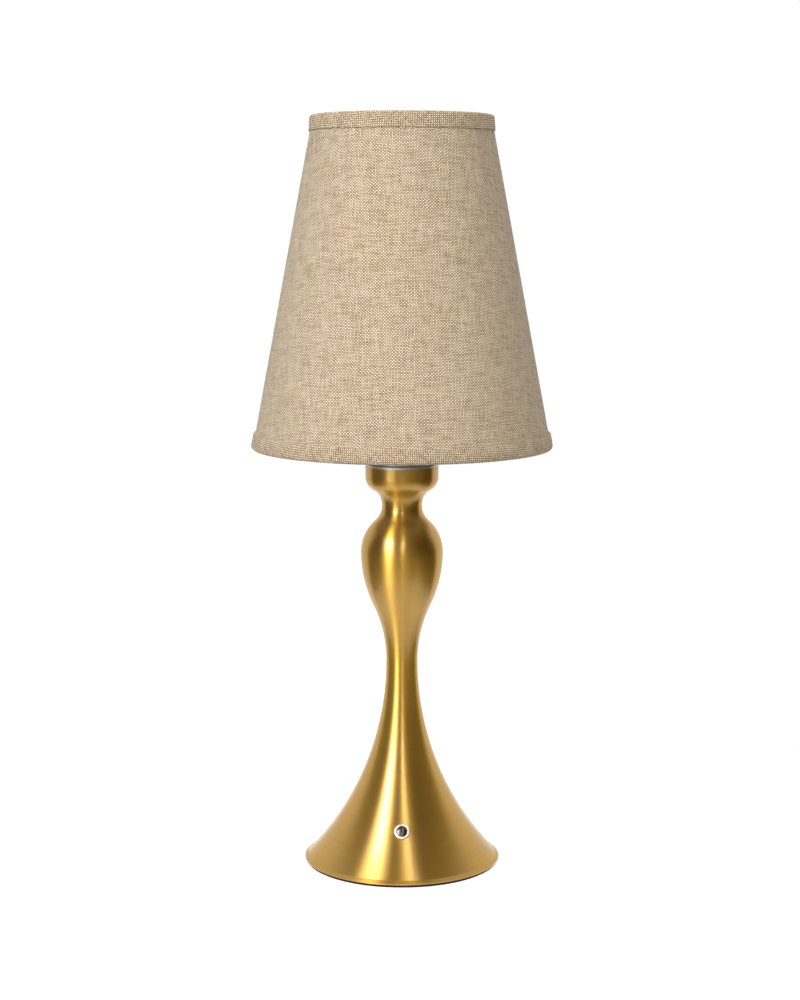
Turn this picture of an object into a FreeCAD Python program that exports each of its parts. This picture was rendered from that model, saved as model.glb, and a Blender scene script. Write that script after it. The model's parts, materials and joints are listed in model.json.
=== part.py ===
import FreeCAD, Part
import math
import os
import Sketcher

# Cordless table lamp in the shape of a turned candlestick, with a woven empire shade.
# Lengths are in millimetres, +Z is up, the origin is the centre of the underside and
# the push switch faces -Y.

V = FreeCAD.Vector
UP = V(0, 0, 1)
ALONG_X = V(1, 0, 0)
ALONG_Y = V(0, 1, 0)

# Driving dimensions
SIZES = [
    # Foot: a spun brass trumpet on a soft pad
    ("pad_thickness", 1.5),
    ("pad_inset", 0.9),
    ("pad_chamfer", 0.3),
    ("pad_recess_depth", 0.9),
    ("foot_radius", 50.2),
    ("rim_edge_height", 0.6),
    ("rim_lip_rise", 1.2),
    ("rim_lip_width", 2.0),
    ("brass_wall", 1.2),
    ("plate_thickness", 1.5),
    ("plate_seat_width", 0.8),
    ("plate_dish_radius", 11.0),
    ("plate_dish_rise", 2.9),
    ("end_wall", 3.0),
    # Turned column
    ("waist_radius", 8.1),
    ("waist_height", 105.0),
    ("belly_radius", 21.0),
    ("belly_rise", 56.0),
    ("neck_radius", 10.2),
    ("neck_rise", 24.0),
    ("column_wall", 1.5),
    # Cup under the light
    ("cup_radius", 18.6),
    ("cup_rise", 14.7),
    ("cup_rim_height", 5.3),
    # Hollow threaded rod that clamps the stack, with its nuts and washer
    ("rod_radius", 5.0),
    ("rod_bore_radius", 3.5),
    ("rod_end_gap", 0.9),
    ("rod_top_stickout", 2.0),
    ("nut_across_flats", 14.0),
    ("nut_height", 3.2),
    ("washer_radius", 10.0),
    ("washer_thickness", 1.5),
    ("lead_exit_radius", 2.0),
    ("lead_exit_height", 33.0),
    # Ballast weight and its screws
    ("ballast_height", 9.0),
    ("ballast_gap", 1.0),
    ("ballast_bay_half_width", 21.5),
    ("ballast_bay_front", 4.5),
    ("screw_circle_radius", 29.0),
    ("screw_radius", 2.0),
    ("screw_head_radius", 3.6),
    ("screw_length", 8.0),
    # Battery, cradle and board
    ("cell_radius", 9.0),
    ("cell_length", 35.0),
    ("cell_cap_radius", 3.0),
    ("cell_cap_height", 0.8),
    ("cell_offset", 15.2),
    ("cradle_floor", 0.8),
    ("cradle_wall", 1.6),
    ("cradle_height", 8.5),
    ("shelf_half_width", 14.0),
    ("shelf_lip", 0.2),
    ("shelf_height", 2.6),
    ("board_half_width", 13.0),
    ("board_thickness", 1.2),
    ("chip_width", 5.0),
    ("chip_height", 1.6),
    ("coil_radius", 2.6),
    ("coil_height", 2.8),
    # Charging inlet
    ("inlet_width", 8.94),
    ("inlet_height", 3.2),
    ("inlet_length", 7.3),
    ("inlet_corner", 1.4),
    ("inlet_skin", 0.35),
    ("inlet_tongue_thickness", 0.7),
    ("inlet_tongue_half_width", 3.3),
    ("inlet_sink", 0.5),
    ("inlet_overhang", 3.7),
    ("surround_wall", 1.6),
    ("surround_length", 8.5),
    # Push switch
    ("button_height", 23.5),
    ("ring_radius", 3.9),
    ("ring_proud", 0.9),
    ("ring_round", 0.45),
    ("ring_lip_radius", 2.85),
    ("seat_sink", 0.3),
    ("barrel_radius", 3.5),
    ("barrel_bore_radius", 3.1),
    ("barrel_length", 6.5),
    ("cap_rim_height", 0.35),
    ("cap_dome_rise", 0.6),
    ("cap_shoulder_depth", 0.9),
    ("cap_shoulder_thickness", 1.0),
    ("cap_stem_radius", 0.9),
    ("cap_stem_length", 1.7),
    ("cap_travel", 0.8),
    ("spring_coil_radius", 2.0),
    ("spring_wire_radius", 0.16),
    ("block_flange_length", 2.0),
    ("block_tag_length", 2.4),
    ("block_tag_half_width", 0.8),
    ("block_tag_thickness", 0.5),
    ("block_tag_offset", 1.6),
    ("switch_nut_across_flats", 9.5),
    ("switch_nut_height", 2.0),
    # Light head
    ("lid_flange_thickness", 1.2),
    ("lid_flange_inset", 0.2),
    ("lid_spigot_length", 3.0),
    ("lid_spigot_wall", 1.5),
    ("collar_radius", 11.9),
    ("collar_wall", 1.5),
    ("collar_height", 5.8),
    ("sink_flange_thickness", 1.5),
    ("sink_plug_length", 4.5),
    ("lead_hole_radius", 1.6),
    ("led_board_thickness", 1.2),
    ("led_circle_radius", 6.4),
    ("led_half_width", 1.4),
    ("led_height", 0.8),
    ("diffuser_radius", 11.8),
    ("diffuser_wall", 1.2),
    ("diffuser_height", 45.0),
    ("diffuser_round", 8.0),
    # Shade seat and frame
    ("seat_washer_thickness", 0.8),
    ("seat_washer_radius", 16.0),
    ("seat_bore_radius", 12.3),
    ("fitter_bore_radius", 13.2),
    ("fitter_radius", 18.0),
    ("fitter_thickness", 2.0),
    ("arm_radius", 1.1),
    ("arm_start_radius", 16.6),
    ("arm_sink", 0.66),
    ("hem_wire_radius", 1.2),
    ("hem_wire_inset", 0.73),
    ("crown_wire_radius", 1.0),
    ("crown_wire_inset", 0.22),
    # Shade
    ("shade_gap", 8.0),
    ("shade_height", 165.7),
    ("hem_radius", 75.37),
    ("crown_radius", 44.22),
    ("fabric_thickness", 0.6),
    ("liner_thickness", 0.8),
    ("trim_thickness", 0.6),
    ("hem_trim_height", 8.0),
    ("hem_trim_proud", 1.2),
    ("hem_flap_height", 7.0),
    ("crown_trim_height", 7.9),
    ("crown_trim_proud", 0.7),
    ("crown_flap_height", 6.0),
    # Clearances
    ("slip_fit", 0.1),
    ("running_fit", 0.08),
    ("bore_fit", 0.2),
    ("loose_fit", 0.3),
    ("overrun", 5.0),
]

# Where along each double curve of the column the bend changes direction
BELLY_LOW_SHARE = 0.51
BELLY_TOP_SHARE = 0.68
CUP_LOW_SHARE = 0.54

# Half a side of an eight-sided wire, as a share of the wire's radius
WIRE_SIDE_SHARE = math.tan(math.pi / 8)

# The three screws of the weight sit round its front half, and the first arm of the frame points back
SCREW_ANGLES = (210.0, 270.0, 330.0)
ARM_COUNT = 3
LED_COUNT = 6
SPRING_TURNS = 4
FULL_TURN = 360.0

doc = FreeCAD.newDocument("cordless_candlestick_lamp")
sheet = doc.addObject("Spreadsheet::Sheet", "dims")
sub_parts = []


class Size:
    """A number that keeps the sheet expression it comes from, so that what uses it can be bound."""

    def __init__(self, value, text):
        self.value = float(value)
        self.text = text

    def __add__(self, other):
        return Size(self.value + number(other), "(%s + %s)" % (self.text, words(other)))

    def __radd__(self, other):
        return Size(number(other) + self.value, "(%s + %s)" % (words(other), self.text))

    def __sub__(self, other):
        return Size(self.value - number(other), "(%s - %s)" % (self.text, words(other)))

    def __rsub__(self, other):
        return Size(number(other) - self.value, "(%s - %s)" % (words(other), self.text))

    def __mul__(self, other):
        return Size(self.value * number(other), "(%s * %s)" % (self.text, words(other)))

    __rmul__ = __mul__

    def __truediv__(self, other):
        return Size(self.value / number(other), "(%s / %s)" % (self.text, words(other)))

    def __neg__(self):
        return Size(-self.value, "(-%s)" % self.text)


def number(size):
    """The plain value of a size or a number."""
    return size.value if isinstance(size, Size) else float(size)


def words(size):
    """The expression text of a size or a number."""
    return size.text if isinstance(size, Size) else repr(size)


def root(size):
    """The square root of a size."""
    return Size(math.sqrt(size.value), "sqrt(%s)" % size.text)


def slope(rise, length):
    """The angle in degrees whose sine is rise over length."""
    angle = math.degrees(math.asin(number(rise) / number(length)))
    return Size(angle, "asin(%s / %s)" % (words(rise), words(length)))


def fill_sheet():
    """Writes the driving dimensions to the sheet and returns them by name."""
    named = {}
    for row, (alias, value) in enumerate(SIZES, start=1):
        sheet.set("A%d" % row, alias)
        sheet.set("B%d" % row, str(value))
        sheet.setAlias("B%d" % row, alias)
        named[alias] = Size(value, "dims.%s" % alias)
    doc.recompute()
    return named


class Named:
    """The driving dimensions as attributes."""

    def __init__(self, sizes):
        self.__dict__.update(sizes)


d = Named(fill_sheet())
RIGHT_ANGLE = Size(90.0, "90 deg")
NOTHING = Size(0.0, "0")


# Heights and radii that several pieces share, from the foot up

plate_bottom = d.pad_thickness
plate_top = plate_bottom + d.plate_thickness
dish_top = plate_top + d.plate_dish_rise
dish_underside = dish_top - d.plate_thickness
lip_height = plate_bottom + d.rim_edge_height + d.rim_lip_rise
rod_hole = d.rod_radius + d.bore_fit
belly_height = d.waist_height + d.belly_rise
neck_height = belly_height + d.neck_rise
cup_curve_height = neck_height + d.cup_rise
cup_height = cup_curve_height + d.cup_rim_height
cup_low_height = neck_height + d.cup_rise * CUP_LOW_SHARE
cup_low_radius = d.neck_radius + (d.cup_radius - d.neck_radius) * CUP_LOW_SHARE
cup_floor = cup_low_height + d.brass_wall
lid_top = cup_height + d.lid_flange_thickness
seat_top = lid_top + d.seat_washer_thickness
fitter_top = seat_top + d.fitter_thickness
sink_seat = lid_top + d.collar_height
sink_top = sink_seat + d.sink_flange_thickness
shade_bottom = lid_top + d.shade_gap
shade_top = shade_bottom + d.shade_height
hem_wire_height = shade_bottom + d.trim_thickness + d.hem_wire_radius
crown_wire_height = shade_top - d.trim_thickness - d.crown_wire_radius


def flare_bend():
    """Radius of the foot's flare, upright at the waist and ending at the top of the rim's lip."""
    run = d.foot_radius - d.rim_lip_width - d.waist_radius
    drop = d.waist_height - lip_height
    return (run * run + drop * drop) / (run * 2)


flare_curve = flare_bend()


def flare(height, wall=0):
    """Radius of the foot's flare at a height, or of its inside where a wall is given."""
    curve = flare_curve + wall
    drop = d.waist_height - height
    return d.waist_radius + flare_curve - root(curve * curve - drop * drop)


def cone(height, inward=0):
    """Radius of the shade's outer surface at a height, or of a surface further in."""
    taper = (d.hem_radius - d.crown_radius) / d.shade_height
    return d.hem_radius - taper * (height - shade_bottom) - inward


hem_ring = cone(hem_wire_height, d.hem_wire_inset)
crown_ring = cone(crown_wire_height, d.crown_wire_inset)

# Places of the battery, its board and the charging inlet

cell_height = dish_top + d.cradle_floor + d.cell_radius + d.slip_fit
shelf_top = plate_top + d.shelf_height
board_top = shelf_top + d.board_thickness
bay_back = d.cell_offset + d.cell_radius + d.cradle_wall
board_front = bay_back + d.loose_fit
inlet_middle = board_top + d.inlet_height / 2
inlet_mouth = flare(board_top + d.inlet_height) - d.inlet_sink
board_back = inlet_mouth - d.inlet_overhang
shelf_back = board_back + d.shelf_lip


# Drawing helpers

def new_body(label):
    """A body that becomes one sub-part."""
    body = doc.addObject("PartDesign::Body", label)
    body.Label = label
    sub_parts.append(body)
    return body


def keep(item, label):
    """Takes a finished object as the sub-part of that name."""
    item.Label = label
    sub_parts.append(item)
    return item


def attach(item, body, role):
    """Lays a sketch or primitive on one of its own body's origin planes."""
    plane = [feature for feature in body.Origin.OriginFeatures if feature.Role == role][0]
    item.AttachmentSupport = [(plane, "")]
    item.MapMode = "FlatFace"


def new_sketch(body, role, name):
    """An empty sketch on an origin plane of the body."""
    sketch = body.newObject("Sketcher::SketchObject", name)
    attach(sketch, body, role)
    return sketch


def bind(item, name, size):
    """Sets a property from a size and binds it to the sheet."""
    setattr(item, name, number(size))
    if isinstance(size, Size):
        item.setExpression(name, size.text)


def place(item, x=0, y=0, z=0, axis=UP, angle=0, slot="Placement"):
    """Puts an object in its place, turned about an axis, and binds the place to the sheet."""
    turn = FreeCAD.Rotation(axis, number(angle))
    setattr(item, slot, FreeCAD.Placement(V(number(x), number(y), number(z)), turn))
    for name, size in (("Base.x", x), ("Base.y", y), ("Base.z", z), ("Rotation.Angle", angle)):
        if isinstance(size, Size):
            item.setExpression("%s.%s" % (slot, name), size.text)


class Outline:
    """A closed outline in a sketch, given corner by corner and joined by lines or arcs."""

    def __init__(self, sketch):
        self.sketch = sketch
        self.corners = []

    def to(self, x, y, radius=None, centre_side=1):
        """Adds a corner. A radius bends the stretch that leads to it, with its centre on the
        left of the way there (1) or on the right (-1)."""
        self.corners.append((x, y, radius, centre_side))
        return self

    def tie(self, kind, index, point, size, axis):
        """Fixes one coordinate of a corner, on the sketch's axis where it is zero."""
        if isinstance(size, Size):
            rule = Sketcher.Constraint(kind, -1, 1, index, point, size.value)
            self.sketch.setExpression("Constraints[%d]" % self.sketch.addConstraint(rule), size.text)
        else:
            self.sketch.addConstraint(Sketcher.Constraint("PointOnObject", index, point, axis))

    def close(self):
        """Draws the stretches and ties their corners to the sizes."""
        ends = []
        for place_in_order, (x, y, radius, centre_side) in enumerate(self.corners):
            before = self.corners[place_in_order - 1]
            start = V(number(before[0]), number(before[1]), 0)
            end = V(number(x), number(y), 0)
            if radius is None:
                index = self.sketch.addGeometry(Part.LineSegment(start, end), False)
                first, last = 1, 2
            else:
                index, first, last = self.draw_arc(start, end, number(radius), centre_side)
                rule = Sketcher.Constraint("Radius", index, number(radius))
                self.sketch.setExpression("Constraints[%d]" % self.sketch.addConstraint(rule), radius.text)
            self.tie("DistanceX", index, last, x, -2)
            self.tie("DistanceY", index, last, y, -1)
            ends.append((index, first, last))
        for place_in_order, (index, first, last) in enumerate(ends):
            before = ends[place_in_order - 1]
            self.sketch.addConstraint(Sketcher.Constraint("Coincident", before[0], before[2], index, first))
        return self.sketch

    def draw_arc(self, start, end, radius, centre_side):
        """Draws an arc between two points and says which of its ends comes first."""
        half = (end - start) * 0.5
        square = V(-half.y, half.x, 0) * (centre_side / half.Length)
        centre = start + half + square * math.sqrt(radius * radius - half.Length * half.Length)
        circle = Part.Circle(centre, UP, radius)
        from_angle = math.atan2(start.y - centre.y, start.x - centre.x)
        to_angle = math.atan2(end.y - centre.y, end.x - centre.x)
        if centre_side > 0:
            return self.sketch.addGeometry(Part.ArcOfCircle(circle, from_angle, to_angle), False), 1, 2
        return self.sketch.addGeometry(Part.ArcOfCircle(circle, to_angle, from_angle), False), 2, 1


def turned(body, name, corners, angle=FULL_TURN, cut=False):
    """Revolves an outline of radius and height about the vertical axis, as a solid or as a cut."""
    outline = Outline(new_sketch(body, "XZ_Plane", name + "_outline"))
    for corner in corners:
        outline.to(*corner)
    solid = body.newObject("PartDesign::Groove" if cut else "PartDesign::Revolution", name)
    solid.Profile = outline.close()
    solid.ReferenceAxis = (solid.Profile[0], ["V_Axis"])
    solid.Angle = angle
    return solid


def wire_corners(x, y, radius):
    """The eight-sided section of a thin round wire that lies hidden."""
    half_side = radius * WIRE_SIDE_SHARE
    return [
        (x - radius, y - half_side), (x - half_side, y - radius),
        (x + half_side, y - radius), (x + radius, y - half_side),
        (x + radius, y + half_side), (x + half_side, y + radius),
        (x - half_side, y + radius), (x - radius, y + half_side)]


def block_outline(sketch, low_x, low_y, high_x, high_y):
    """A rectangle between two corners."""
    return Outline(sketch).to(low_x, low_y).to(high_x, low_y).to(high_x, high_y).to(low_x, high_y).close()


def rounded_outline(sketch, half_x, half_y, corner):
    """A rectangle about the sketch's origin with rounded corners."""
    outline = Outline(sketch)
    outline.to(half_x - corner, -half_y).to(half_x, -half_y + corner, corner)
    outline.to(half_x, half_y - corner).to(half_x - corner, half_y, corner)
    outline.to(-half_x + corner, half_y).to(-half_x, half_y - corner, corner)
    outline.to(-half_x, -half_y + corner).to(-half_x + corner, -half_y, corner)
    return outline.close()


def pad(body, name, sketch, length, reverse=False):
    """Raises a sketch into a solid."""
    solid = body.newObject("PartDesign::Pad", name)
    solid.Profile = sketch
    bind(solid, "Length", length)
    solid.Reversed = reverse
    return solid


def settle():
    """Recomputes the document and stops at any object that failed."""
    doc.recompute()
    for item in doc.Objects:
        if "Invalid" in item.State or "Error" in item.State:
            raise RuntimeError("%s is %s" % (item.Name, item.State))


def pocket(body, name, sketch, length, reverse=False):
    """Cuts a sketch out of the body and makes sure that something was cut."""
    settle()
    before = body.Shape.Volume
    cut = body.newObject("PartDesign::Pocket", name)
    cut.Profile = sketch
    bind(cut, "Length", length)
    cut.Reversed = reverse
    settle()
    if not body.Shape.Volume < before:
        raise RuntimeError("%s cuts nothing" % name)
    return cut


def round_tool(body, name, radius, length):
    """A cylinder that is cut out of the body."""
    cut = body.newObject("PartDesign::SubtractiveCylinder", name)
    attach(cut, body, "XY_Plane")
    bind(cut, "Radius", radius)
    bind(cut, "Height", length)
    return cut


def around(body, name, feature, count, angle=FULL_TURN):
    """Repeats a feature of the body about the vertical axis."""
    axis = [item for item in body.Origin.OriginFeatures if item.Role == "Z_Axis"][0]
    pattern = body.newObject("PartDesign::PolarPattern", name)
    pattern.Originals = [feature]
    pattern.Axis = (axis, [""])
    pattern.Angle = angle
    pattern.Occurrences = count
    body.Tip = pattern
    return pattern


def hexagon(sketch, across_flats):
    """A hexagon about the sketch's origin."""
    outline = Outline(sketch)
    corner = across_flats / math.sqrt(3.0)
    outline.to(corner, 0)
    outline.to(corner / 2, across_flats / 2)
    outline.to(-corner / 2, across_flats / 2)
    outline.to(-corner, 0)
    outline.to(-corner / 2, -across_flats / 2)
    outline.to(corner / 2, -across_flats / 2)
    return outline.close()


# Curves of the turned column

class DoubleCurve:
    """Two arcs between two upright tangents, with the bend changing at a share of the way."""

    def __init__(self, low, high, share, outward):
        self.low = low
        self.high = high
        self.outward = outward
        run = high[0] - low[0] if outward else low[0] - high[0]
        rise = high[1] - low[1]
        both = (run * run + rise * rise) / (run * 2)
        self.low_radius = both * share
        self.high_radius = both * (1 - share)
        self.middle = (low[0] + (high[0] - low[0]) * share, low[1] + rise * share)
        sign = 1 if outward else -1
        self.low_centre = (low[0] + self.low_radius * sign, low[1])

    def low_arc_radius(self, wall):
        """Radius of the lower arc, moved in by a wall."""
        return self.low_radius + wall if self.outward else self.low_radius - wall

    def high_arc_radius(self, wall):
        """Radius of the upper arc, moved in by a wall."""
        return self.high_radius - wall if self.outward else self.high_radius + wall

    def inner_middle(self, wall):
        """The point where the bend changes, moved in by a wall."""
        share = self.low_arc_radius(wall) / self.low_radius
        across, up = self.low_centre
        return (across + (self.middle[0] - across) * share, up + (self.middle[1] - up) * share)

    def low_arc_at(self, height, wall):
        """Radius of the lower arc at a height, moved in by a wall, where it bulges inward."""
        curve = self.low_arc_radius(wall)
        drop = height - self.low[1]
        return self.low_centre[0] - root(curve * curve - drop * drop)


waist = (d.waist_radius, d.waist_height)
belly = (d.belly_radius, belly_height)
neck = (d.neck_radius, neck_height)
cup = (d.cup_radius, cup_curve_height)
belly_low = DoubleCurve(waist, belly, BELLY_LOW_SHARE, True)
belly_top = DoubleCurve(belly, neck, BELLY_TOP_SHARE, False)
cup_low = DoubleCurve(neck, cup, CUP_LOW_SHARE, True)


# Foot

def make_base_pad():
    """Soft black pad under the foot, recessed over the rod's nut."""
    edge = d.foot_radius - d.pad_inset
    recess = d.plate_dish_radius - d.plate_thickness
    floor = d.pad_thickness - d.pad_recess_depth
    turned(new_body("base_pad"), "pad_disc", [
        (0, 0), (edge - d.pad_chamfer, 0), (edge, d.pad_chamfer), (edge, d.pad_thickness),
        (recess, d.pad_thickness), (recess, floor), (0, floor)])


def screw_places():
    """Where the screws of the weight stand, as plan coordinates."""
    circle = d.screw_circle_radius
    turns = [math.radians(angle) for angle in SCREW_ANGLES]
    return [(circle * math.cos(turn), circle * math.sin(turn)) for turn in turns]


def make_base_plate():
    """Pressed steel plate that closes the foot, dished up at the middle for the rod's nut."""
    body = new_body("base_plate")
    edge = flare(plate_top, d.brass_wall) + d.plate_seat_width - d.slip_fit
    dish_inside = d.plate_dish_radius - d.plate_thickness
    turned(body, "pressed_plate", [
        (rod_hole, dish_underside), (dish_inside, dish_underside), (dish_inside, plate_bottom),
        (edge, plate_bottom), (edge, plate_top), (d.plate_dish_radius, plate_top),
        (d.plate_dish_radius, dish_top), (rod_hole, dish_top)])
    for count, (x, y) in enumerate(screw_places()):
        sink = body.newObject("PartDesign::SubtractiveCone", "countersink_%d" % count)
        attach(sink, body, "XY_Plane")
        bind(sink, "Radius1", d.screw_head_radius + d.slip_fit)
        bind(sink, "Radius2", d.screw_radius + d.slip_fit)
        bind(sink, "Height", d.plate_thickness)
        place(sink, x, y, plate_bottom, slot="AttachmentOffset")


def make_ballast():
    """Cast iron weight in the front of the foot, open at the back for the battery."""
    body = new_body("ballast_weight")
    top = plate_top + d.ballast_height
    inside = d.plate_dish_radius + d.ballast_gap
    turned(body, "weight_ring", [
        (inside, plate_top), (flare(plate_top, d.brass_wall) - d.ballast_gap, plate_top),
        (flare(top, d.brass_wall) - d.ballast_gap, top), (inside, top)])
    sketch = new_sketch(body, "XY_Plane", "battery_bay_outline")
    half = d.ballast_bay_half_width
    block_outline(sketch, -half, d.ballast_bay_front, half, d.foot_radius)
    pocket(body, "battery_bay", sketch, top + d.overrun, reverse=True)
    for count, (x, y) in enumerate(screw_places()):
        hole = round_tool(body, "screw_hole_%d" % count, d.screw_radius, d.screw_length - d.plate_thickness)
        place(hole, x, y, plate_top, slot="AttachmentOffset")


def make_ballast_screws():
    """Countersunk screws that hold the weight to the plate."""
    screws = []
    for count, (x, y) in enumerate(screw_places()):
        head = doc.addObject("Part::Cone", "screw_head_%d" % count)
        bind(head, "Radius1", d.screw_head_radius)
        bind(head, "Radius2", d.screw_radius)
        bind(head, "Height", d.plate_thickness)
        shank = doc.addObject("Part::Cylinder", "screw_shank_%d" % count)
        bind(shank, "Radius", d.screw_radius)
        bind(shank, "Height", d.screw_length)
        screw = doc.addObject("Part::Fuse", "screw_%d" % count)
        screw.Base, screw.Tool = head, shank
        place(screw, x, y, plate_bottom)
        screws.append(screw)
    group = doc.addObject("Part::Compound", "ballast_screws")
    group.Links = screws
    keep(group, "ballast_screws")


def switch_place(item, depth, slot):
    """Puts an object that is drawn along +Z on the switch's axis, at a depth below the brass surface."""
    tilt = d.waist_height - d.button_height
    reach = d.waist_radius + flare_curve - flare(d.button_height)
    y = -flare(d.button_height) + depth * (reach / flare_curve)
    z = d.button_height - depth * (tilt / flare_curve)
    angle = RIGHT_ANGLE - slope(tilt, flare_curve)
    place(item, 0, y, z, ALONG_X, angle, slot)


def make_foot_shell():
    """Spun brass trumpet from the rim up to the waist, with its switch hole and inlet slot."""
    body = new_body("foot_shell")
    inside_top = d.waist_height - d.end_wall
    plate_seat = flare(plate_top, d.brass_wall) + d.plate_seat_width
    inner_curve = flare_curve + d.brass_wall
    turned(body, "trumpet", [
        (rod_hole, d.waist_height), (rod_hole, inside_top), (flare(inside_top, d.brass_wall), inside_top),
        (flare(plate_top, d.brass_wall), plate_top, inner_curve, 1),
        (plate_seat, plate_top), (plate_seat, plate_bottom), (d.foot_radius, plate_bottom),
        (d.foot_radius, plate_bottom + d.rim_edge_height), (flare(lip_height), lip_height),
        (d.waist_radius, d.waist_height, flare_curve, -1)])
    hole = round_tool(body, "switch_hole", d.barrel_radius + d.slip_fit, d.overrun * 2)
    switch_place(hole, d.overrun, "AttachmentOffset")
    seat = round_tool(body, "switch_seat", d.ring_radius + d.slip_fit, d.overrun)
    switch_place(seat, d.seat_sink, "AttachmentOffset")
    slot = new_sketch(body, "XZ_Plane", "inlet_slot_outline")
    place(slot, 0, inlet_middle, 0, slot="AttachmentOffset")
    grown = d.surround_wall
    rounded_outline(slot, d.inlet_width / 2 + grown, d.inlet_height / 2 + grown, d.inlet_corner + grown)
    pocket(body, "inlet_slot", slot, d.foot_radius)


# Rod and its fasteners

def make_rod():
    """Hollow threaded rod from the base plate to the cup, cross-drilled for the leads."""
    body = new_body("stem_rod")
    top = cup_floor + d.washer_thickness + d.nut_height + d.rod_top_stickout
    turned(body, "tube", [
        (d.rod_bore_radius, d.rod_end_gap), (d.rod_radius, d.rod_end_gap),
        (d.rod_radius, top), (d.rod_bore_radius, top)])
    hole = round_tool(body, "lead_exit", d.lead_exit_radius, d.rod_radius + d.overrun)
    place(hole, 0, 0, d.lead_exit_height, ALONG_X, -RIGHT_ANGLE, slot="AttachmentOffset")


def make_nut(name, bore, across_flats, height):
    """A hexagon nut standing on the origin."""
    body = doc.addObject("PartDesign::Body", name)
    sketch = hexagon(new_sketch(body, "XY_Plane", name + "_hexagon"), across_flats)
    pad(body, name + "_block", sketch, height)
    round_tool(body, name + "_bore", bore, height)
    return body


def make_rod_nuts():
    """The two nuts of the rod, one under the base plate's dish and one in the cup."""
    nuts = []
    lower = dish_underside - d.nut_height
    upper = cup_floor + d.washer_thickness
    for name, height in (("lower_nut", lower), ("upper_nut", upper)):
        nut = make_nut(name, d.rod_radius, d.nut_across_flats, d.nut_height)
        place(nut, 0, 0, height)
        nuts.append(nut)
    group = doc.addObject("Part::Compound", "rod_nuts")
    group.Links = nuts
    keep(group, "rod_nuts")


def make_cup_washer():
    """Washer between the upper nut and the cup's floor."""
    turned(new_body("cup_washer"), "washer", [
        (rod_hole, cup_floor), (d.washer_radius, cup_floor),
        (d.washer_radius, cup_floor + d.washer_thickness), (rod_hole, cup_floor + d.washer_thickness)])


# Column and cup

def make_baluster():
    """Hollow turned column: a slim waist, a pear-shaped belly and a narrow neck."""
    wall = d.column_wall
    floor = d.waist_height + d.end_wall
    ceiling = cup_low_height - d.end_wall
    turned(new_body("baluster"), "column", [
        (rod_hole, d.waist_height), waist,
        belly_low.middle + (belly_low.low_radius, -1),
        belly + (belly_low.high_radius, 1),
        belly_top.middle + (belly_top.low_radius, 1),
        neck + (belly_top.high_radius, -1),
        cup_low.middle + (cup_low.low_radius, -1),
        (rod_hole, cup_low_height), (rod_hole, ceiling),
        (cup_low.low_arc_at(ceiling, wall), ceiling),
        (d.neck_radius - wall, neck_height, cup_low.low_arc_radius(wall), 1),
        belly_top.inner_middle(wall) + (belly_top.high_arc_radius(wall), 1),
        (d.belly_radius - wall, belly_height, belly_top.low_arc_radius(wall), -1),
        belly_low.inner_middle(wall) + (belly_low.high_arc_radius(wall), -1),
        (belly_low.low_arc_at(floor, wall), floor, belly_low.low_arc_radius(wall), 1),
        (rod_hole, floor)])


def make_cup_shell():
    """Round-bottomed brass cup on top of the column."""
    wall = d.brass_wall
    centre = d.cup_radius - cup_low.high_radius
    inner = cup_low.high_radius - wall
    drop = cup_curve_height - cup_floor
    floor_edge = centre + root(inner * inner - drop * drop)
    turned(new_body("cup_shell"), "bowl", [
        (rod_hole, cup_low_height), (cup_low_radius, cup_low_height),
        (d.cup_radius, cup_curve_height, cup_low.high_radius, 1),
        (d.cup_radius, cup_height), (d.cup_radius - wall, cup_height),
        (d.cup_radius - wall, cup_curve_height),
        (floor_edge, cup_floor, inner, -1), (rod_hole, cup_floor)])


# Battery and electronics

def make_cradle():
    """Moulded cradle that carries the cell over the plate's dish and the board behind it."""
    body = new_body("battery_cradle")
    half = d.cell_length / 2 + d.cell_cap_height + d.cradle_wall
    front = d.cell_offset - d.cell_radius
    sketch = new_sketch(body, "XY_Plane", "cradle_outline")
    place(sketch, 0, 0, plate_top, slot="AttachmentOffset")
    outline = Outline(sketch)
    outline.to(-half, front).to(half, front).to(half, bay_back)
    outline.to(d.shelf_half_width, bay_back).to(d.shelf_half_width, shelf_back)
    outline.to(-d.shelf_half_width, shelf_back).to(-d.shelf_half_width, bay_back)
    outline.to(-half, bay_back).close()
    pad(body, "cradle_block", sketch, d.cradle_height)
    shelf = new_sketch(body, "XY_Plane", "shelf_outline")
    place(shelf, 0, 0, shelf_top, slot="AttachmentOffset")
    block_outline(shelf, -half, bay_back, half, shelf_back + d.overrun)
    pocket(body, "shelf_step", shelf, d.cradle_height, reverse=True)
    room = d.cell_length + d.cell_cap_height + d.slip_fit
    trough = round_tool(body, "cell_trough", d.cell_radius + d.slip_fit, room)
    left = -(d.cell_length + d.slip_fit) / 2
    place(trough, left, d.cell_offset, cell_height, ALONG_Y, RIGHT_ANGLE, "AttachmentOffset")
    dish = round_tool(body, "dish_room", d.plate_dish_radius + d.loose_fit, dish_top)
    place(dish, 0, 0, 0, slot="AttachmentOffset")


def make_cell():
    """Rechargeable cell lying across the foot, with its raised positive cap."""
    body = new_body("battery_cell")
    top = d.cell_length + d.cell_cap_height
    turned(body, "can", [
        (0, 0), (d.cell_radius, 0), (d.cell_radius, d.cell_length),
        (d.cell_cap_radius, d.cell_length), (d.cell_cap_radius, top), (0, top)])
    place(body, -d.cell_length / 2, d.cell_offset, cell_height, ALONG_Y, RIGHT_ANGLE)


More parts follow.
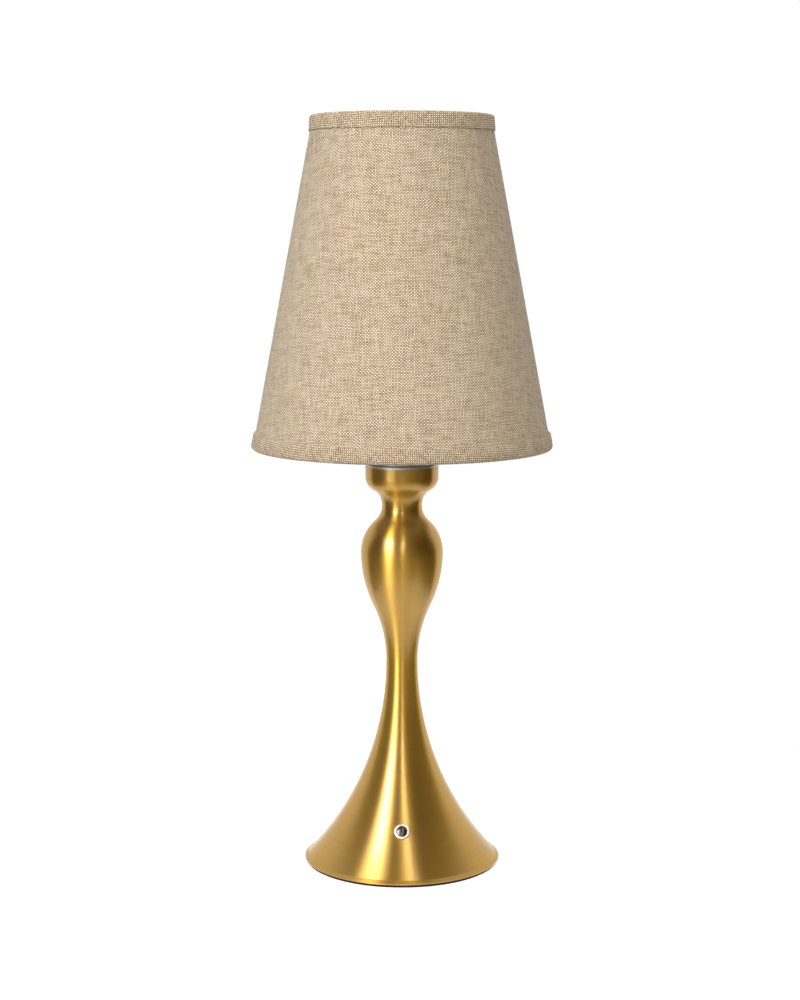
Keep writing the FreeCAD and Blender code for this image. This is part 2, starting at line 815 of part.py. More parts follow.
def make_board():
    """Charging and dimming board on the shelf of the cradle, with its chip and coil."""
    body = new_body("control_board")
    sketch = new_sketch(body, "XY_Plane", "board_outline")
    place(sketch, 0, 0, shelf_top, slot="AttachmentOffset")
    block_outline(sketch, -d.board_half_width, board_front, d.board_half_width, board_back)
    pad(body, "laminate", sketch, d.board_thickness)
    chip = new_sketch(body, "XY_Plane", "chip_outline")
    place(chip, 0, 0, board_top, slot="AttachmentOffset")
    left = -d.board_half_width + d.board_thickness
    near = board_front + d.board_thickness
    block_outline(chip, left, near, left + d.chip_width, near + d.chip_width)
    pad(body, "chip", chip, d.chip_height)
    coil = body.newObject("PartDesign::AdditiveCylinder", "coil")
    attach(coil, body, "XY_Plane")
    bind(coil, "Radius", d.coil_radius)
    bind(coil, "Height", d.coil_height)
    side = d.board_half_width - d.coil_radius - d.board_thickness
    place(coil, side, near + d.coil_radius, board_top, slot="AttachmentOffset")


def make_inlet():
    """Metal shell of the charging inlet with its tongue, drawn along its own axis."""
    body = new_body("charging_inlet")
    half_x, half_y = d.inlet_width / 2, d.inlet_height / 2
    outer = rounded_outline(new_sketch(body, "XY_Plane", "inlet_outline"), half_x, half_y, d.inlet_corner)
    pad(body, "inlet_can", outer, d.inlet_length)
    hollow = new_sketch(body, "XY_Plane", "inlet_mouth_outline")
    place(hollow, 0, 0, d.inlet_skin * 2, slot="AttachmentOffset")
    rounded_outline(hollow, half_x - d.inlet_skin, half_y - d.inlet_skin, d.inlet_corner - d.inlet_skin)
    pocket(body, "inlet_hollow", hollow, d.inlet_length, reverse=True)
    tongue = new_sketch(body, "XY_Plane", "tongue_outline")
    wide, thick = d.inlet_tongue_half_width, d.inlet_tongue_thickness / 2
    block_outline(tongue, -wide, -thick, wide, thick)
    pad(body, "tongue", tongue, d.inlet_length - d.inlet_skin * 2)
    place(body, 0, inlet_mouth - d.inlet_length, inlet_middle, ALONG_X, -RIGHT_ANGLE)


def make_inlet_surround():
    """Black surround of the inlet, trimmed to the foot's curve."""
    body = new_body("inlet_surround")
    outer_wall = d.surround_wall - d.slip_fit
    half_x, half_y = d.inlet_width / 2, d.inlet_height / 2
    outer = new_sketch(body, "XZ_Plane", "surround_outline")
    place(outer, 0, inlet_middle, -d.foot_radius, slot="AttachmentOffset")
    rounded_outline(outer, half_x + outer_wall, half_y + outer_wall, d.inlet_corner + outer_wall)
    pad(body, "surround_block", outer, d.surround_length)
    mouth = new_sketch(body, "XZ_Plane", "surround_mouth_outline")
    place(mouth, 0, inlet_middle, 0, slot="AttachmentOffset")
    rounded_outline(mouth, half_x + d.slip_fit, half_y + d.slip_fit, d.inlet_corner + d.slip_fit)
    pocket(body, "surround_mouth", mouth, d.foot_radius + d.overrun)
    trim = Outline(new_sketch(body, "XZ_Plane", "surround_trim_outline"))
    high = d.waist_height - d.end_wall
    far = d.foot_radius + d.overrun
    trim.to(far, 0).to(far, high).to(flare(high), high)
    trim.to(flare(lip_height), lip_height, flare_curve, 1).to(d.foot_radius, 0)
    cut = body.newObject("PartDesign::Groove", "surround_trim")
    cut.Profile = trim.close()
    cut.ReferenceAxis = (cut.Profile[0], ["V_Axis"])
    cut.Angle = FULL_TURN


# Push switch, drawn along its own axis with the brass surface at zero

def on_switch_axis(body):
    """Puts a piece of the switch in its place on the foot."""
    switch_place(body, NOTHING, "Placement")


def make_switch_ring():
    """Polished ring and threaded barrel of the push switch."""
    body = new_body("switch_ring")
    under_lip = -d.cap_shoulder_depth
    turned(body, "ring_and_barrel", [
        (d.barrel_bore_radius, -d.barrel_length), (d.barrel_radius, -d.barrel_length),
        (d.barrel_radius, -d.seat_sink), (d.ring_radius, -d.seat_sink),
        (d.ring_radius, d.ring_proud - d.ring_round),
        (d.ring_radius - d.ring_round, d.ring_proud, d.ring_round, 1),
        (d.ring_lip_radius, d.ring_proud), (d.ring_lip_radius, under_lip),
        (d.barrel_bore_radius, under_lip)])
    on_switch_axis(body)


def make_switch_cap():
    """Domed cap that is pressed, with the shoulder that the ring holds in and a short stem."""
    body = new_body("switch_cap")
    head = d.ring_lip_radius - d.running_fit
    shoulder = d.barrel_bore_radius - d.running_fit
    under = -(d.cap_shoulder_depth + d.cap_shoulder_thickness)
    dome = (head * head + d.cap_dome_rise * d.cap_dome_rise) / (d.cap_dome_rise * 2)
    turned(body, "dome_and_stem", [
        (0, under - d.cap_stem_length), (d.cap_stem_radius, under - d.cap_stem_length),
        (d.cap_stem_radius, under), (shoulder, under), (shoulder, -d.cap_shoulder_depth),
        (head, -d.cap_shoulder_depth), (head, d.cap_rim_height),
        (0, d.cap_rim_height + d.cap_dome_rise, dome, 1)])
    on_switch_axis(body)


def make_switch_block():
    """Contact block that closes the barrel, with two solder tags."""
    body = new_body("switch_block")
    plug = d.barrel_bore_radius - d.running_fit
    plug_top = block_top()
    foot_end = -(d.barrel_length + d.block_flange_length)
    turned(body, "contact_block", [
        (0, foot_end), (d.barrel_radius, foot_end), (d.barrel_radius, -d.barrel_length),
        (plug, -d.barrel_length), (plug, plug_top), (0, plug_top)])
    for name, side in (("left_tag", -1), ("right_tag", 1)):
        sketch = new_sketch(body, "XY_Plane", name + "_outline")
        place(sketch, 0, 0, foot_end, slot="AttachmentOffset")
        near = d.block_tag_offset * side - d.block_tag_thickness / 2
        wide = d.block_tag_half_width
        block_outline(sketch, near, -wide, near + d.block_tag_thickness, wide)
        pad(body, name, sketch, d.block_tag_length, reverse=True)
    on_switch_axis(body)


def block_top():
    """Height of the contact block's upper face on the switch's axis."""
    return -(d.cap_shoulder_depth + d.cap_shoulder_thickness + d.cap_stem_length + d.cap_travel)


def make_switch_nut():
    """Thin nut that clamps the barrel from inside the foot. Two of its corners bear on the wall,
    which curves away from its face to each side."""
    body = make_nut("switch_nut", d.barrel_radius, d.switch_nut_across_flats, d.switch_nut_height)
    corner = d.switch_nut_across_flats / math.sqrt(3.0)
    reach = d.waist_radius + flare_curve - flare(d.button_height)
    wall_bend = flare(d.button_height) * (flare_curve / reach) - d.brass_wall
    hollow = wall_bend - root(wall_bend * wall_bend - corner * corner)
    switch_place(body, d.brass_wall + hollow + d.switch_nut_height, "Placement")
    keep(body, "switch_nut")


def make_switch_spring():
    """Return spring between the cap's shoulder and the contact block."""
    body = new_body("switch_spring")
    low = block_top() + d.spring_wire_radius
    high = -(d.cap_shoulder_depth + d.cap_shoulder_thickness) - d.spring_wire_radius
    sketch = new_sketch(body, "XZ_Plane", "spring_wire_outline")
    outline = Outline(sketch)
    for corner in wire_corners(d.spring_coil_radius, low, d.spring_wire_radius):
        outline.to(*corner)
    coil = body.newObject("PartDesign::AdditiveHelix", "spring_coil")
    coil.Profile = outline.close()
    coil.ReferenceAxis = (sketch, ["V_Axis"])
    coil.Mode = "pitch-height-angle"
    bind(coil, "Pitch", (high - low) / SPRING_TURNS)
    bind(coil, "Height", high - low)
    on_switch_axis(body)


# Light head

def make_cup_lid():
    """Satin nickel lid that closes the cup."""
    spigot = d.cup_radius - d.brass_wall - d.slip_fit
    spigot_in = spigot - d.lid_spigot_wall
    low = cup_height - d.lid_spigot_length
    edge = d.cup_radius - d.lid_flange_inset
    turned(new_body("cup_lid"), "lid", [
        (d.collar_radius, cup_height), (spigot_in, cup_height), (spigot_in, low), (spigot, low),
        (spigot, cup_height), (edge, cup_height), (edge, lid_top), (d.collar_radius, lid_top)])


def make_light_collar():
    """Collar pressed into the lid: it carries the light and centres the shade."""
    inside = d.collar_radius - d.collar_wall
    turned(new_body("light_collar"), "collar", [
        (inside, cup_height), (d.collar_radius, cup_height), (d.collar_radius, sink_seat),
        (inside, sink_seat)])


def make_led_sink():
    """Aluminium plug that carries the LED board and takes its heat."""
    plug = d.collar_radius - d.collar_wall - d.slip_fit
    turned(new_body("led_heat_sink"), "plug", [
        (d.lead_hole_radius, sink_seat - d.sink_plug_length), (plug, sink_seat - d.sink_plug_length),
        (plug, sink_seat), (d.diffuser_radius, sink_seat), (d.diffuser_radius, sink_top),
        (d.lead_hole_radius, sink_top)])


def make_led_board():
    """Round board with a ring of light-emitting chips."""
    body = new_body("led_board")
    top = sink_top + d.led_board_thickness
    edge = d.diffuser_radius - d.diffuser_wall - d.loose_fit
    turned(body, "round_board", [
        (d.lead_hole_radius, sink_top), (edge, sink_top), (edge, top), (d.lead_hole_radius, top)])
    sketch = new_sketch(body, "XY_Plane", "led_outline")
    place(sketch, 0, 0, top, slot="AttachmentOffset")
    near, far = d.led_circle_radius - d.led_half_width, d.led_circle_radius + d.led_half_width
    block_outline(sketch, near, -d.led_half_width, far, d.led_half_width)
    chip = pad(body, "led_chip", sketch, d.led_height)
    doc.recompute()
    around(body, "led_ring", chip, LED_COUNT)


def make_diffuser():
    """Opal tube with a rounded top that stands where a candle would."""
    top = sink_top + d.diffuser_height
    outer, bend = d.diffuser_radius, d.diffuser_round
    inner, tight = outer - d.diffuser_wall, bend - d.diffuser_wall
    turned(new_body("diffuser"), "opal_tube", [
        (inner, sink_top), (outer, sink_top), (outer, top - bend), (outer - bend, top, bend, 1),
        (0, top), (0, top - d.diffuser_wall), (outer - bend, top - d.diffuser_wall),
        (inner, top - bend, tight, -1)])


# Shade

def make_seat_washer():
    """Soft washer on the lid that the shade's frame turns on."""
    turned(new_body("seat_washer"), "soft_washer", [
        (d.seat_bore_radius, lid_top), (d.seat_washer_radius, lid_top),
        (d.seat_washer_radius, seat_top), (d.seat_bore_radius, seat_top)])


def arm_shape(item, spare):
    """Makes a cylinder the first arm of the frame, from the fitter ring back and out to the hem
    wire, or the room for that arm where its radius has some to spare."""
    start_height = fitter_top - d.arm_sink
    run = hem_ring - d.arm_start_radius
    rise = hem_wire_height - start_height
    length = root(run * run + rise * rise)
    bind(item, "Radius", d.arm_radius + spare)
    bind(item, "Height", length)
    tilt = slope(rise, length) - RIGHT_ANGLE
    place(item, 0, d.arm_start_radius, start_height, ALONG_X, tilt, "AttachmentOffset")


def fitter_corners():
    """Section of the flat ring that the shade hangs from."""
    return [
        (d.fitter_bore_radius, seat_top), (d.fitter_radius, seat_top),
        (d.fitter_radius, fitter_top), (d.fitter_bore_radius, fitter_top)]


def hem_wire_corners():
    """Section of the wire in the hem."""
    return wire_corners(hem_ring, hem_wire_height, d.hem_wire_radius)


def make_fitter_ring():
    """Flat ring that stands on the soft washer, loose round the collar so that it lifts off."""
    turned(new_body("fitter_ring"), "ring", fitter_corners())


def make_frame_arms():
    """Three straight arms, each let onto the ring at one end and butted to the hem wire at the other."""
    for number_of_arm in range(ARM_COUNT):
        body = new_body("frame_arm_%d" % (number_of_arm + 1))
        arm = body.newObject("PartDesign::AdditiveCylinder", "arm")
        attach(arm, body, "XY_Plane")
        arm_shape(arm, NOTHING)
        turned(body, "ring_seat", fitter_corners(), cut=True)
        turned(body, "wire_seat", hem_wire_corners(), cut=True)
        place(body, 0, 0, 0, UP, number_of_arm * FULL_TURN / ARM_COUNT)


def make_hem_wire():
    """Wire ring in the hem that the arms carry."""
    turned(new_body("hem_wire"), "hem_wire_ring", hem_wire_corners())


def make_crown_wire():
    """Wire ring inside the top trim."""
    ring = wire_corners(crown_ring, crown_wire_height, d.crown_wire_radius)
    turned(new_body("crown_wire"), "wire_ring", ring)


def make_cone_layer(label, outer_inset, thickness):
    """One layer of the shade between the two wires."""
    low = hem_wire_height + d.hem_wire_radius + d.slip_fit
    high = crown_wire_height - d.crown_wire_radius - d.slip_fit
    inner_inset = outer_inset + thickness
    turned(new_body(label), label + "_cone", [
        (cone(low, inner_inset), low), (cone(low, outer_inset), low),
        (cone(high, outer_inset), high), (cone(high, inner_inset), high)])


def make_hem_trim():
    """Folded strip round the hem: up the outside, under the wire and up the inside."""
    body = new_body("hem_trim")
    wire, ring = d.hem_wire_radius, hem_ring
    wrap = wire + d.trim_thickness
    turn = wrap * WIRE_SIDE_SHARE
    low = hem_wire_height
    top = shade_bottom + d.hem_trim_height
    flap = shade_bottom + d.hem_flap_height
    layers = d.fabric_thickness + d.liner_thickness
    join = low + wire + d.slip_fit
    turned(body, "hem_strip", [
        (cone(join), join), (cone(top), top), (cone(top) + d.hem_trim_proud, top),
        (ring + wrap, low - turn), (ring + turn, low - wrap), (ring - turn, low - wrap),
        (ring - wrap, low - turn),
        (cone(flap, layers) - d.trim_thickness, flap), (cone(flap, layers), flap),
        (cone(join, layers), join), (ring - wire, join), (ring - wire, low - wire),
        (ring + wire, low - wire), (ring + wire, join)])
    notch = round_tool(body, "arm_notch", d.arm_radius, d.arm_radius)
    arm_shape(notch, d.slip_fit)
    doc.recompute()
    around(body, "arm_notches", notch, ARM_COUNT)


def make_crown_trim():
    """Folded strip round the top edge: up the outside, over the wire and down the inside."""
    wire, ring = d.crown_wire_radius, crown_ring
    wrap = wire + d.trim_thickness
    turn = wrap * WIRE_SIDE_SHARE
    high = crown_wire_height
    low = shade_top - d.crown_trim_height
    flap = shade_top - d.crown_flap_height
    layers = d.fabric_thickness + d.liner_thickness
    join = high - wire - d.slip_fit
    turned(new_body("crown_trim"), "crown_strip", [
        (cone(low), low), (cone(join), join), (ring + wire, join), (ring + wire, high + wire),
        (ring - wire, high + wire), (ring - wire, join),
        (cone(join, layers), join), (cone(flap, layers), flap),
        (cone(flap, layers) - d.trim_thickness, flap), (ring - wrap, high + turn),
        (ring - turn, shade_top), (ring + turn, shade_top), (ring + wrap, high + turn),
        (cone(low) + d.crown_trim_proud, low)])


def make_all():
    """Builds every sub-part."""
    make_base_pad()
    make_base_plate()
    make_ballast()
    make_ballast_screws()
    make_foot_shell()
    make_rod()
    make_rod_nuts()
    make_cup_washer()
    make_baluster()
    make_cup_shell()
    make_cradle()
    make_cell()
    make_board()
    make_inlet()
    make_inlet_surround()
    make_switch_ring()
    make_switch_cap()
    make_switch_block()
    make_switch_nut()
    make_switch_spring()
    make_cup_lid()
    make_light_collar()
    make_led_sink()
    make_led_board()
    make_diffuser()
    make_seat_washer()
    make_fitter_ring()
    make_frame_arms()
    make_hem_wire()
    make_crown_wire()
    make_cone_layer("shade_fabric", NOTHING, d.fabric_thickness)
    make_cone_layer("shade_liner", d.fabric_thickness, d.liner_thickness)
    make_hem_trim()
    make_crown_trim()


def export():
    """Checks every object and writes each sub-part to its own file."""
    settle()
    for item in sub_parts:
        if item.Shape.isNull() or not item.Shape.isValid():
            raise RuntimeError("%s has no sound shape" % item.Label)
    os.makedirs("parts", exist_ok=True)
    for item in sub_parts:
        item.Shape.exportStep("parts/%s.step" % item.Label)
        box = item.Shape.BoundBox
        print("%-16s %2d solid(s) %10.1f mm3  x %.1f..%.1f  y %.1f..%.1f  z %.1f..%.1f" % (
            item.Label, len(item.Shape.Solids), item.Shape.Volume,
            box.XMin, box.XMax, box.YMin, box.YMax, box.ZMin, box.ZMax))


make_all()
export()
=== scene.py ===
"""Looks of a cordless candlestick table lamp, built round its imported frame."""

import json
import logging
import math
from collections.abc import Callable
from dataclasses import dataclass, field
from enum import Enum
from typing import Protocol

import bpy
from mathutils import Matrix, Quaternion, Vector, noise


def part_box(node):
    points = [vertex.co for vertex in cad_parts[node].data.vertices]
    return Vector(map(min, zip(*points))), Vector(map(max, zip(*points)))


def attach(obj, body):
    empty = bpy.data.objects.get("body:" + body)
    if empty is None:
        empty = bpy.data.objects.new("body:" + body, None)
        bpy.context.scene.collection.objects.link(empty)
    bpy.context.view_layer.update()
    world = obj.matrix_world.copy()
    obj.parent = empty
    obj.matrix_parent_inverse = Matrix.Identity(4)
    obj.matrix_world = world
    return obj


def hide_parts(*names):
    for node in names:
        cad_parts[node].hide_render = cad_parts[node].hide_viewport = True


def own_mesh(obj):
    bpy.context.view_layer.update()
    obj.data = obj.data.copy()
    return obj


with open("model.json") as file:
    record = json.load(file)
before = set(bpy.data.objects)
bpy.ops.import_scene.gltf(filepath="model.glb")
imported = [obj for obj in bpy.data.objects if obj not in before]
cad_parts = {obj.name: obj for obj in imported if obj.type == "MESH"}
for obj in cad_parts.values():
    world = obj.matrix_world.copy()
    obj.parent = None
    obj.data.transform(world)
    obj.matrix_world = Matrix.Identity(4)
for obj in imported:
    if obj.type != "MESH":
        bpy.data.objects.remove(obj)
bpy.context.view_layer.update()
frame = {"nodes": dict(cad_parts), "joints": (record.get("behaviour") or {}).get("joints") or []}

log = logging.getLogger("lamp")

MM = 0.001
FULL_TURN = 2 * math.pi
# A share of the whole turn, which is how the metal's shader takes it.
QUARTER_TURN = 0.25
# Faces that meet at less than this angle are shaded as one smooth surface.
HIDDEN_BEND = math.radians(35)
# How far from a turned edge's height its points may lie.
EDGE_REACH = 0.2 * MM
# Most values of a noise texture lie between these two.
NOISE_LOW = 0.3
NOISE_HIGH = 0.7
WHITE = "#ffffff"

# Radius and height pairs of a section, by the turn about the axis, which is zero at the front.
Section = Callable[[float], list[tuple[float, float]]]
# Place on the flat cloth, by the turn and the number of the point in its section.
Layout = Callable[[float, int], tuple[float, float]]


def linear(colour: str) -> tuple[float, ...]:
    """Turns an sRGB hex colour into linear light.

    Args:
        colour: Hex colour with its hash sign.

    Returns:
        Red, green, blue and alpha.
    """
    parts = [int(colour[place:place + 2], 16) / 255 for place in (1, 3, 5)]
    light = [part / 12.92 if part <= 0.04045 else ((part + 0.055) / 1.055) ** 2.4 for part in parts]
    return (*light, 1.0)


def add_node(
    tree: bpy.types.NodeTree,
    kind: str,
    settings: dict[str | int, object] | None = None,
    links: dict[str | int, bpy.types.NodeSocket] | None = None,
) -> bpy.types.Node:
    """Adds one node with its settings and the links into it.

    Args:
        tree: Node tree that gets the node.
        kind: Blender's name of the kind of node.
        settings: Values by the name of a property or of an input, or by an input's number.
        links: Sockets to link from, by the name or number of the input that they feed.

    Returns:
        The new node.
    """
    node = tree.nodes.new(kind)
    for name, value in (settings or {}).items():
        if isinstance(name, str) and hasattr(node, name):
            setattr(node, name, value)
        else:
            node.inputs[name].default_value = value
    for name, socket in (links or {}).items():
        tree.links.new(socket, node.inputs[name])
    return node


def new_material(name: str) -> tuple[bpy.types.Material, bpy.types.NodeTree]:
    """Makes an empty node material.

    Args:
        name: Name of the real material and how its surface was made.

    Returns:
        The material and its node tree.
    """
    material = bpy.data.materials.new(name)
    material.use_nodes = True
    material.node_tree.nodes.clear()
    return material, material.node_tree


def finish_material(tree: bpy.types.NodeTree, shader: bpy.types.Node) -> None:
    """Links a shader to the material's output.

    Args:
        tree: Node tree of the material.
        shader: Node whose first output is the whole surface.
    """
    add_node(tree, "ShaderNodeOutputMaterial", links={"Surface": shader.outputs[0]})


class Finish(Protocol):
    """What every finish offers: the name of its material and a way to make it."""

    @property
    def name(self) -> str:
        """Name of the material."""

    def build(self) -> bpy.types.Material:
        """Makes the material."""


@dataclass(frozen=True)
class BrushedBrass:
    """Brass spun or turned on a lathe, brushed as it turned, then lacquered.

    The brush runs round the axis, so a highlight is drawn out up and down the profile and fine
    level lines show in it. Lacquer keeps the colour an even, slightly green gold, and lays a paler
    gleam over it. Lengths are in millimetres.
    """

    name: str = "brass_spun_brushed_lacquered"
    colour: str = "#cfa549"
    shade_colour: str = "#be9135"
    edge_tint: str = "#f6e2b8"
    roughness: float = 0.36
    line_roughness: float = 0.03
    anisotropy: float = 0.94
    lacquer: float = 1.0
    lacquer_roughness: float = 0.21
    # Real brush lines are about 0.1 apart, which is too fine to show, so they are drawn coarser.
    line_pitch: float = 0.5
    # How long a line is where the metal stands this far from the axis.
    line_length: float = 24.0
    line_radius: float = 30.0
    line_depth: float = 0.0022
    line_strength: float = 0.6
    line_detail: float = 3.0
    line_detail_share: float = 0.6

    def brush_lines(self, tree: bpy.types.NodeTree) -> bpy.types.NodeSocket:
        """Adds the noise of the brush, thin up the profile and drawn out round the axis.

        Args:
            tree: Node tree of the material.

        Returns:
            Strength of the lines.
        """
        place = add_node(tree, "ShaderNodeTexCoord")
        parts = add_node(tree, "ShaderNodeSeparateXYZ", links={0: place.outputs["Object"]})
        flat = add_node(
            tree, "ShaderNodeCombineXYZ", links={"X": parts.outputs["X"], "Y": parts.outputs["Y"]}
        )
        radius = add_node(
            tree, "ShaderNodeVectorMath", {"operation": "LENGTH"}, {0: flat.outputs[0]}
        )
        way = add_node(
            tree, "ShaderNodeVectorMath", {"operation": "NORMALIZE"}, {0: flat.outputs[0]}
        )
        around = add_node(
            tree, "ShaderNodeVectorMath",
            {"operation": "SCALE", "Scale": self.line_radius / self.line_length},
            {0: way.outputs[0]},
        )
        across = 1 / (self.line_pitch * MM)
        height = add_node(
            tree, "ShaderNodeMath", {"operation": "MULTIPLY", 1: across}, {0: parts.outputs["Z"]}
        )
        outward = add_node(
            tree, "ShaderNodeMath", {"operation": "MULTIPLY", 1: across},
            {0: radius.outputs["Value"]},
        )
        lift = add_node(tree, "ShaderNodeCombineXYZ", links={"Z": height.outputs[0]})
        brushed = add_node(
            tree, "ShaderNodeVectorMath", {"operation": "ADD"},
            {0: around.outputs[0], 1: lift.outputs[0]},
        )
        lines = add_node(
            tree, "ShaderNodeTexNoise",
            {
                "noise_dimensions": "4D", "Scale": 1.0, "Detail": self.line_detail,
                "Roughness": self.line_detail_share,
            },
            {"Vector": brushed.outputs[0], "W": outward.outputs[0]},
        )
        return lines.outputs["Fac"]

    def build(self) -> bpy.types.Material:
        """Makes the material.

        Returns:
            The material.
        """
        material, tree = new_material(self.name)
        lines = self.brush_lines(tree)
        colour = add_node(
            tree, "ShaderNodeMix",
            {"data_type": "RGBA", 6: linear(self.shade_colour), 7: linear(self.colour)},
            {0: lines},
        )
        rough = add_node(
            tree, "ShaderNodeMapRange",
            {
                "From Min": NOISE_LOW, "From Max": NOISE_HIGH,
                "To Min": self.roughness - self.line_roughness,
                "To Max": self.roughness + self.line_roughness,
            },
            {"Value": lines},
        )
        bump = add_node(
            tree, "ShaderNodeBump",
            {"Strength": self.line_strength, "Distance": self.line_depth * MM},
            {"Height": lines},
        )
        tangent = add_node(tree, "ShaderNodeTangent", {"direction_type": "RADIAL", "axis": "Z"})
        shader = add_node(
            tree, "ShaderNodeBsdfPrincipled",
            {
                "Metallic": 1.0, "Anisotropic": self.anisotropy,
                "Anisotropic Rotation": QUARTER_TURN, "Specular Tint": linear(self.edge_tint),
                "Coat Weight": self.lacquer, "Coat Roughness": self.lacquer_roughness,
            },
            {
                "Base Color": colour.outputs[2], "Roughness": rough.outputs[0],
                "Normal": bump.outputs[0], "Tangent": tangent.outputs[0],
            },
        )
        finish_material(tree, shader)
        return material


class Grain(Enum):
    """How the fine unevenness of a plain surface is laid out: even, or drawn out round the axis."""

    EVEN = (1.0, 1.0, 1.0)
    LEVEL_LINES = (0.04, 0.04, 1.0)


@dataclass(frozen=True)
class PlainFinish:
    """A finish of one colour whose fine grain shows as small changes of colour and height.

    Lengths are in millimetres. Grain that is finer than 0.3 on the real piece wouldn't show in the
    render, so it is drawn at 0.3 or a little more.
    """

    name: str
    colour: str
    second_colour: str
    roughness: float
    grain_size: float
    grain_depth: float
    metallic: float = 0.0
    roughness_change: float = 0.06
    see_through: float = 0.0
    glow_through: float = 0.0
    glow_depth: float = 2.0
    grain: Grain = Grain.EVEN
    grain_strength: float = 0.5
    grain_detail: float = 4.0
    grain_detail_share: float = 0.55

    def build(self) -> bpy.types.Material:
        """Makes the material.

        Returns:
            The material.
        """
        material, tree = new_material(self.name)
        place = add_node(tree, "ShaderNodeTexCoord")
        stretched = add_node(
            tree, "ShaderNodeVectorMath", {"operation": "MULTIPLY", 1: self.grain.value},
            {0: place.outputs["Object"]},
        )
        grain = add_node(
            tree, "ShaderNodeTexNoise",
            {
                "Scale": 1 / (self.grain_size * MM), "Detail": self.grain_detail,
                "Roughness": self.grain_detail_share,
            },
            {"Vector": stretched.outputs[0]},
        )
        colour = add_node(
            tree, "ShaderNodeMix",
            {"data_type": "RGBA", 6: linear(self.colour), 7: linear(self.second_colour)},
            {0: grain.outputs["Fac"]},
        )
        rough = add_node(
            tree, "ShaderNodeMapRange",
            {
                "From Min": NOISE_LOW, "From Max": NOISE_HIGH,
                "To Min": self.roughness - self.roughness_change,
                "To Max": self.roughness + self.roughness_change,
            },
            {"Value": grain.outputs["Fac"]},
        )
        bump = add_node(
            tree, "ShaderNodeBump",
            {"Strength": self.grain_strength, "Distance": self.grain_depth * MM},
            {"Height": grain.outputs["Fac"]},
        )
        shader = add_node(
            tree, "ShaderNodeBsdfPrincipled",
            {
                "Metallic": self.metallic, "Transmission Weight": self.see_through,
                "Subsurface Weight": self.glow_through, "Subsurface Scale": self.glow_depth * MM,
            },
            {
                "Base Color": colour.outputs[2], "Roughness": rough.outputs[0],
                "Normal": bump.outputs[0],
            },
        )
        finish_material(tree, shader)
        return material


# Nickel plate over brushed brass: a grey satin with level lines, warmer than steel.
SATIN_NICKEL = PlainFinish(
    "nickel_plated_satin", "#e2dbce", "#c4bdb0", 0.42, 0.5, 0.004, metallic=1.0,
    grain=Grain.LEVEL_LINES,
)
# Steel polished on a wheel: almost a mirror, very slightly uneven.
POLISHED_STEEL = PlainFinish(
    "stainless_steel_polished", "#d6d0c8", "#c9c2b9", 0.09, 1.5, 0.001, metallic=1.0,
    roughness_change=0.02,
)
# Nickel plate over a barrelled bead, slightly soft, with a warm cast; its colour is lighter than
# nickel's own, as a painted reflection of bright light.
NICKEL_PAINTED_BRIGHT = PlainFinish(
    "nickel_plated_painted_bright", "#f2e8e1", "#e4d9d0", 0.34, 1.0, 0.002, metallic=1.0,
    roughness_change=0.02,
)
# Polished nickel plate, its colour darkened far below nickel's own as a painted reflection of
# the dark room that the dome faces, with soft glints.
NICKEL_PAINTED_DARK = PlainFinish(
    "nickel_plated_painted_dark", "#5f574f", "#554d46", 0.26, 1.5, 0.001, metallic=1.0,
    roughness_change=0.02,
)
# Zinc plate on pressed and drawn steel: a cool, slightly mottled grey.
ZINC_PLATE = PlainFinish("steel_zinc_plated", "#b4b8bb", "#9da2a6", 0.36, 1.8, 0.01, metallic=1.0)
# Grey iron as it leaves the sand mould: dark, grainy and dull.
CAST_IRON = PlainFinish("iron_sand_cast", "#4a4947", "#363533", 0.7, 0.8, 0.12, metallic=0.6)
# Foamed rubber sheet: black and quite matt, with fine open pores.
FOAM_RUBBER = PlainFinish("rubber_foam_sheet", "#0e0d0d", "#171615", 0.9, 0.35, 0.05)
# ABS moulded in a spark-eroded tool: a fine even texture.
BLACK_ABS = PlainFinish("abs_moulded_black", "#1d1d1f", "#29292b", 0.48, 0.3, 0.015)
# Shrunk PVC film round a steel can: glossy, with faint ripples.
CELL_SLEEVE = PlainFinish("pvc_shrink_sleeve_blue", "#2f6fa8", "#3a7ab2", 0.28, 3.0, 0.02)
# Solder mask on glass-fibre board: a fine mottle from the weave just shows in the green.
BOARD_GREEN = PlainFinish("glass_fibre_board_green", "#1f6a3c", "#2a7b49", 0.35, 0.4, 0.008)
# White solder mask on an aluminium-cored board: flat, clean and slightly glossy.
BOARD_WHITE = PlainFinish("aluminium_core_board_white", "#eceae4", "#dfddd6", 0.4, 0.4, 0.006)
# Aluminium bar turned and left bright: fine tool lines round it.
TURNED_ALUMINIUM = PlainFinish(
    "aluminium_turned", "#d2d4d6", "#bdc0c3", 0.28, 0.4, 0.01, metallic=1.0,
    grain=Grain.LEVEL_LINES,
)
# Polycarbonate with a white diffusing filler: milky, soft at its edges.
OPAL_PLASTIC = PlainFinish(
    "polycarbonate_extruded_opal", "#f6f3ec", "#efebe2", 0.42, 2.0, 0.006, glow_through=0.6
)
# Silicone cut from sheet: clear with a slight haze.
CLEAR_SILICONE = PlainFinish(
    "silicone_sheet_clear", "#e9e9e6", "#dededb", 0.4, 1.0, 0.01, see_through=0.5
)
# Styrene film that the shade's cloth is laminated to: smooth, matt and even in its white.
SHADE_FILM = PlainFinish("styrene_film_white", "#efece4", "#e6e2d8", 0.55, 1.2, 0.01)


class Reach(Enum):
    """Which surfaces a lamp works on, by its visibility to matt and to glossy rays."""

    ALL = (True, True)
    MATT = (True, False)
    MIRRORED = (False, True)


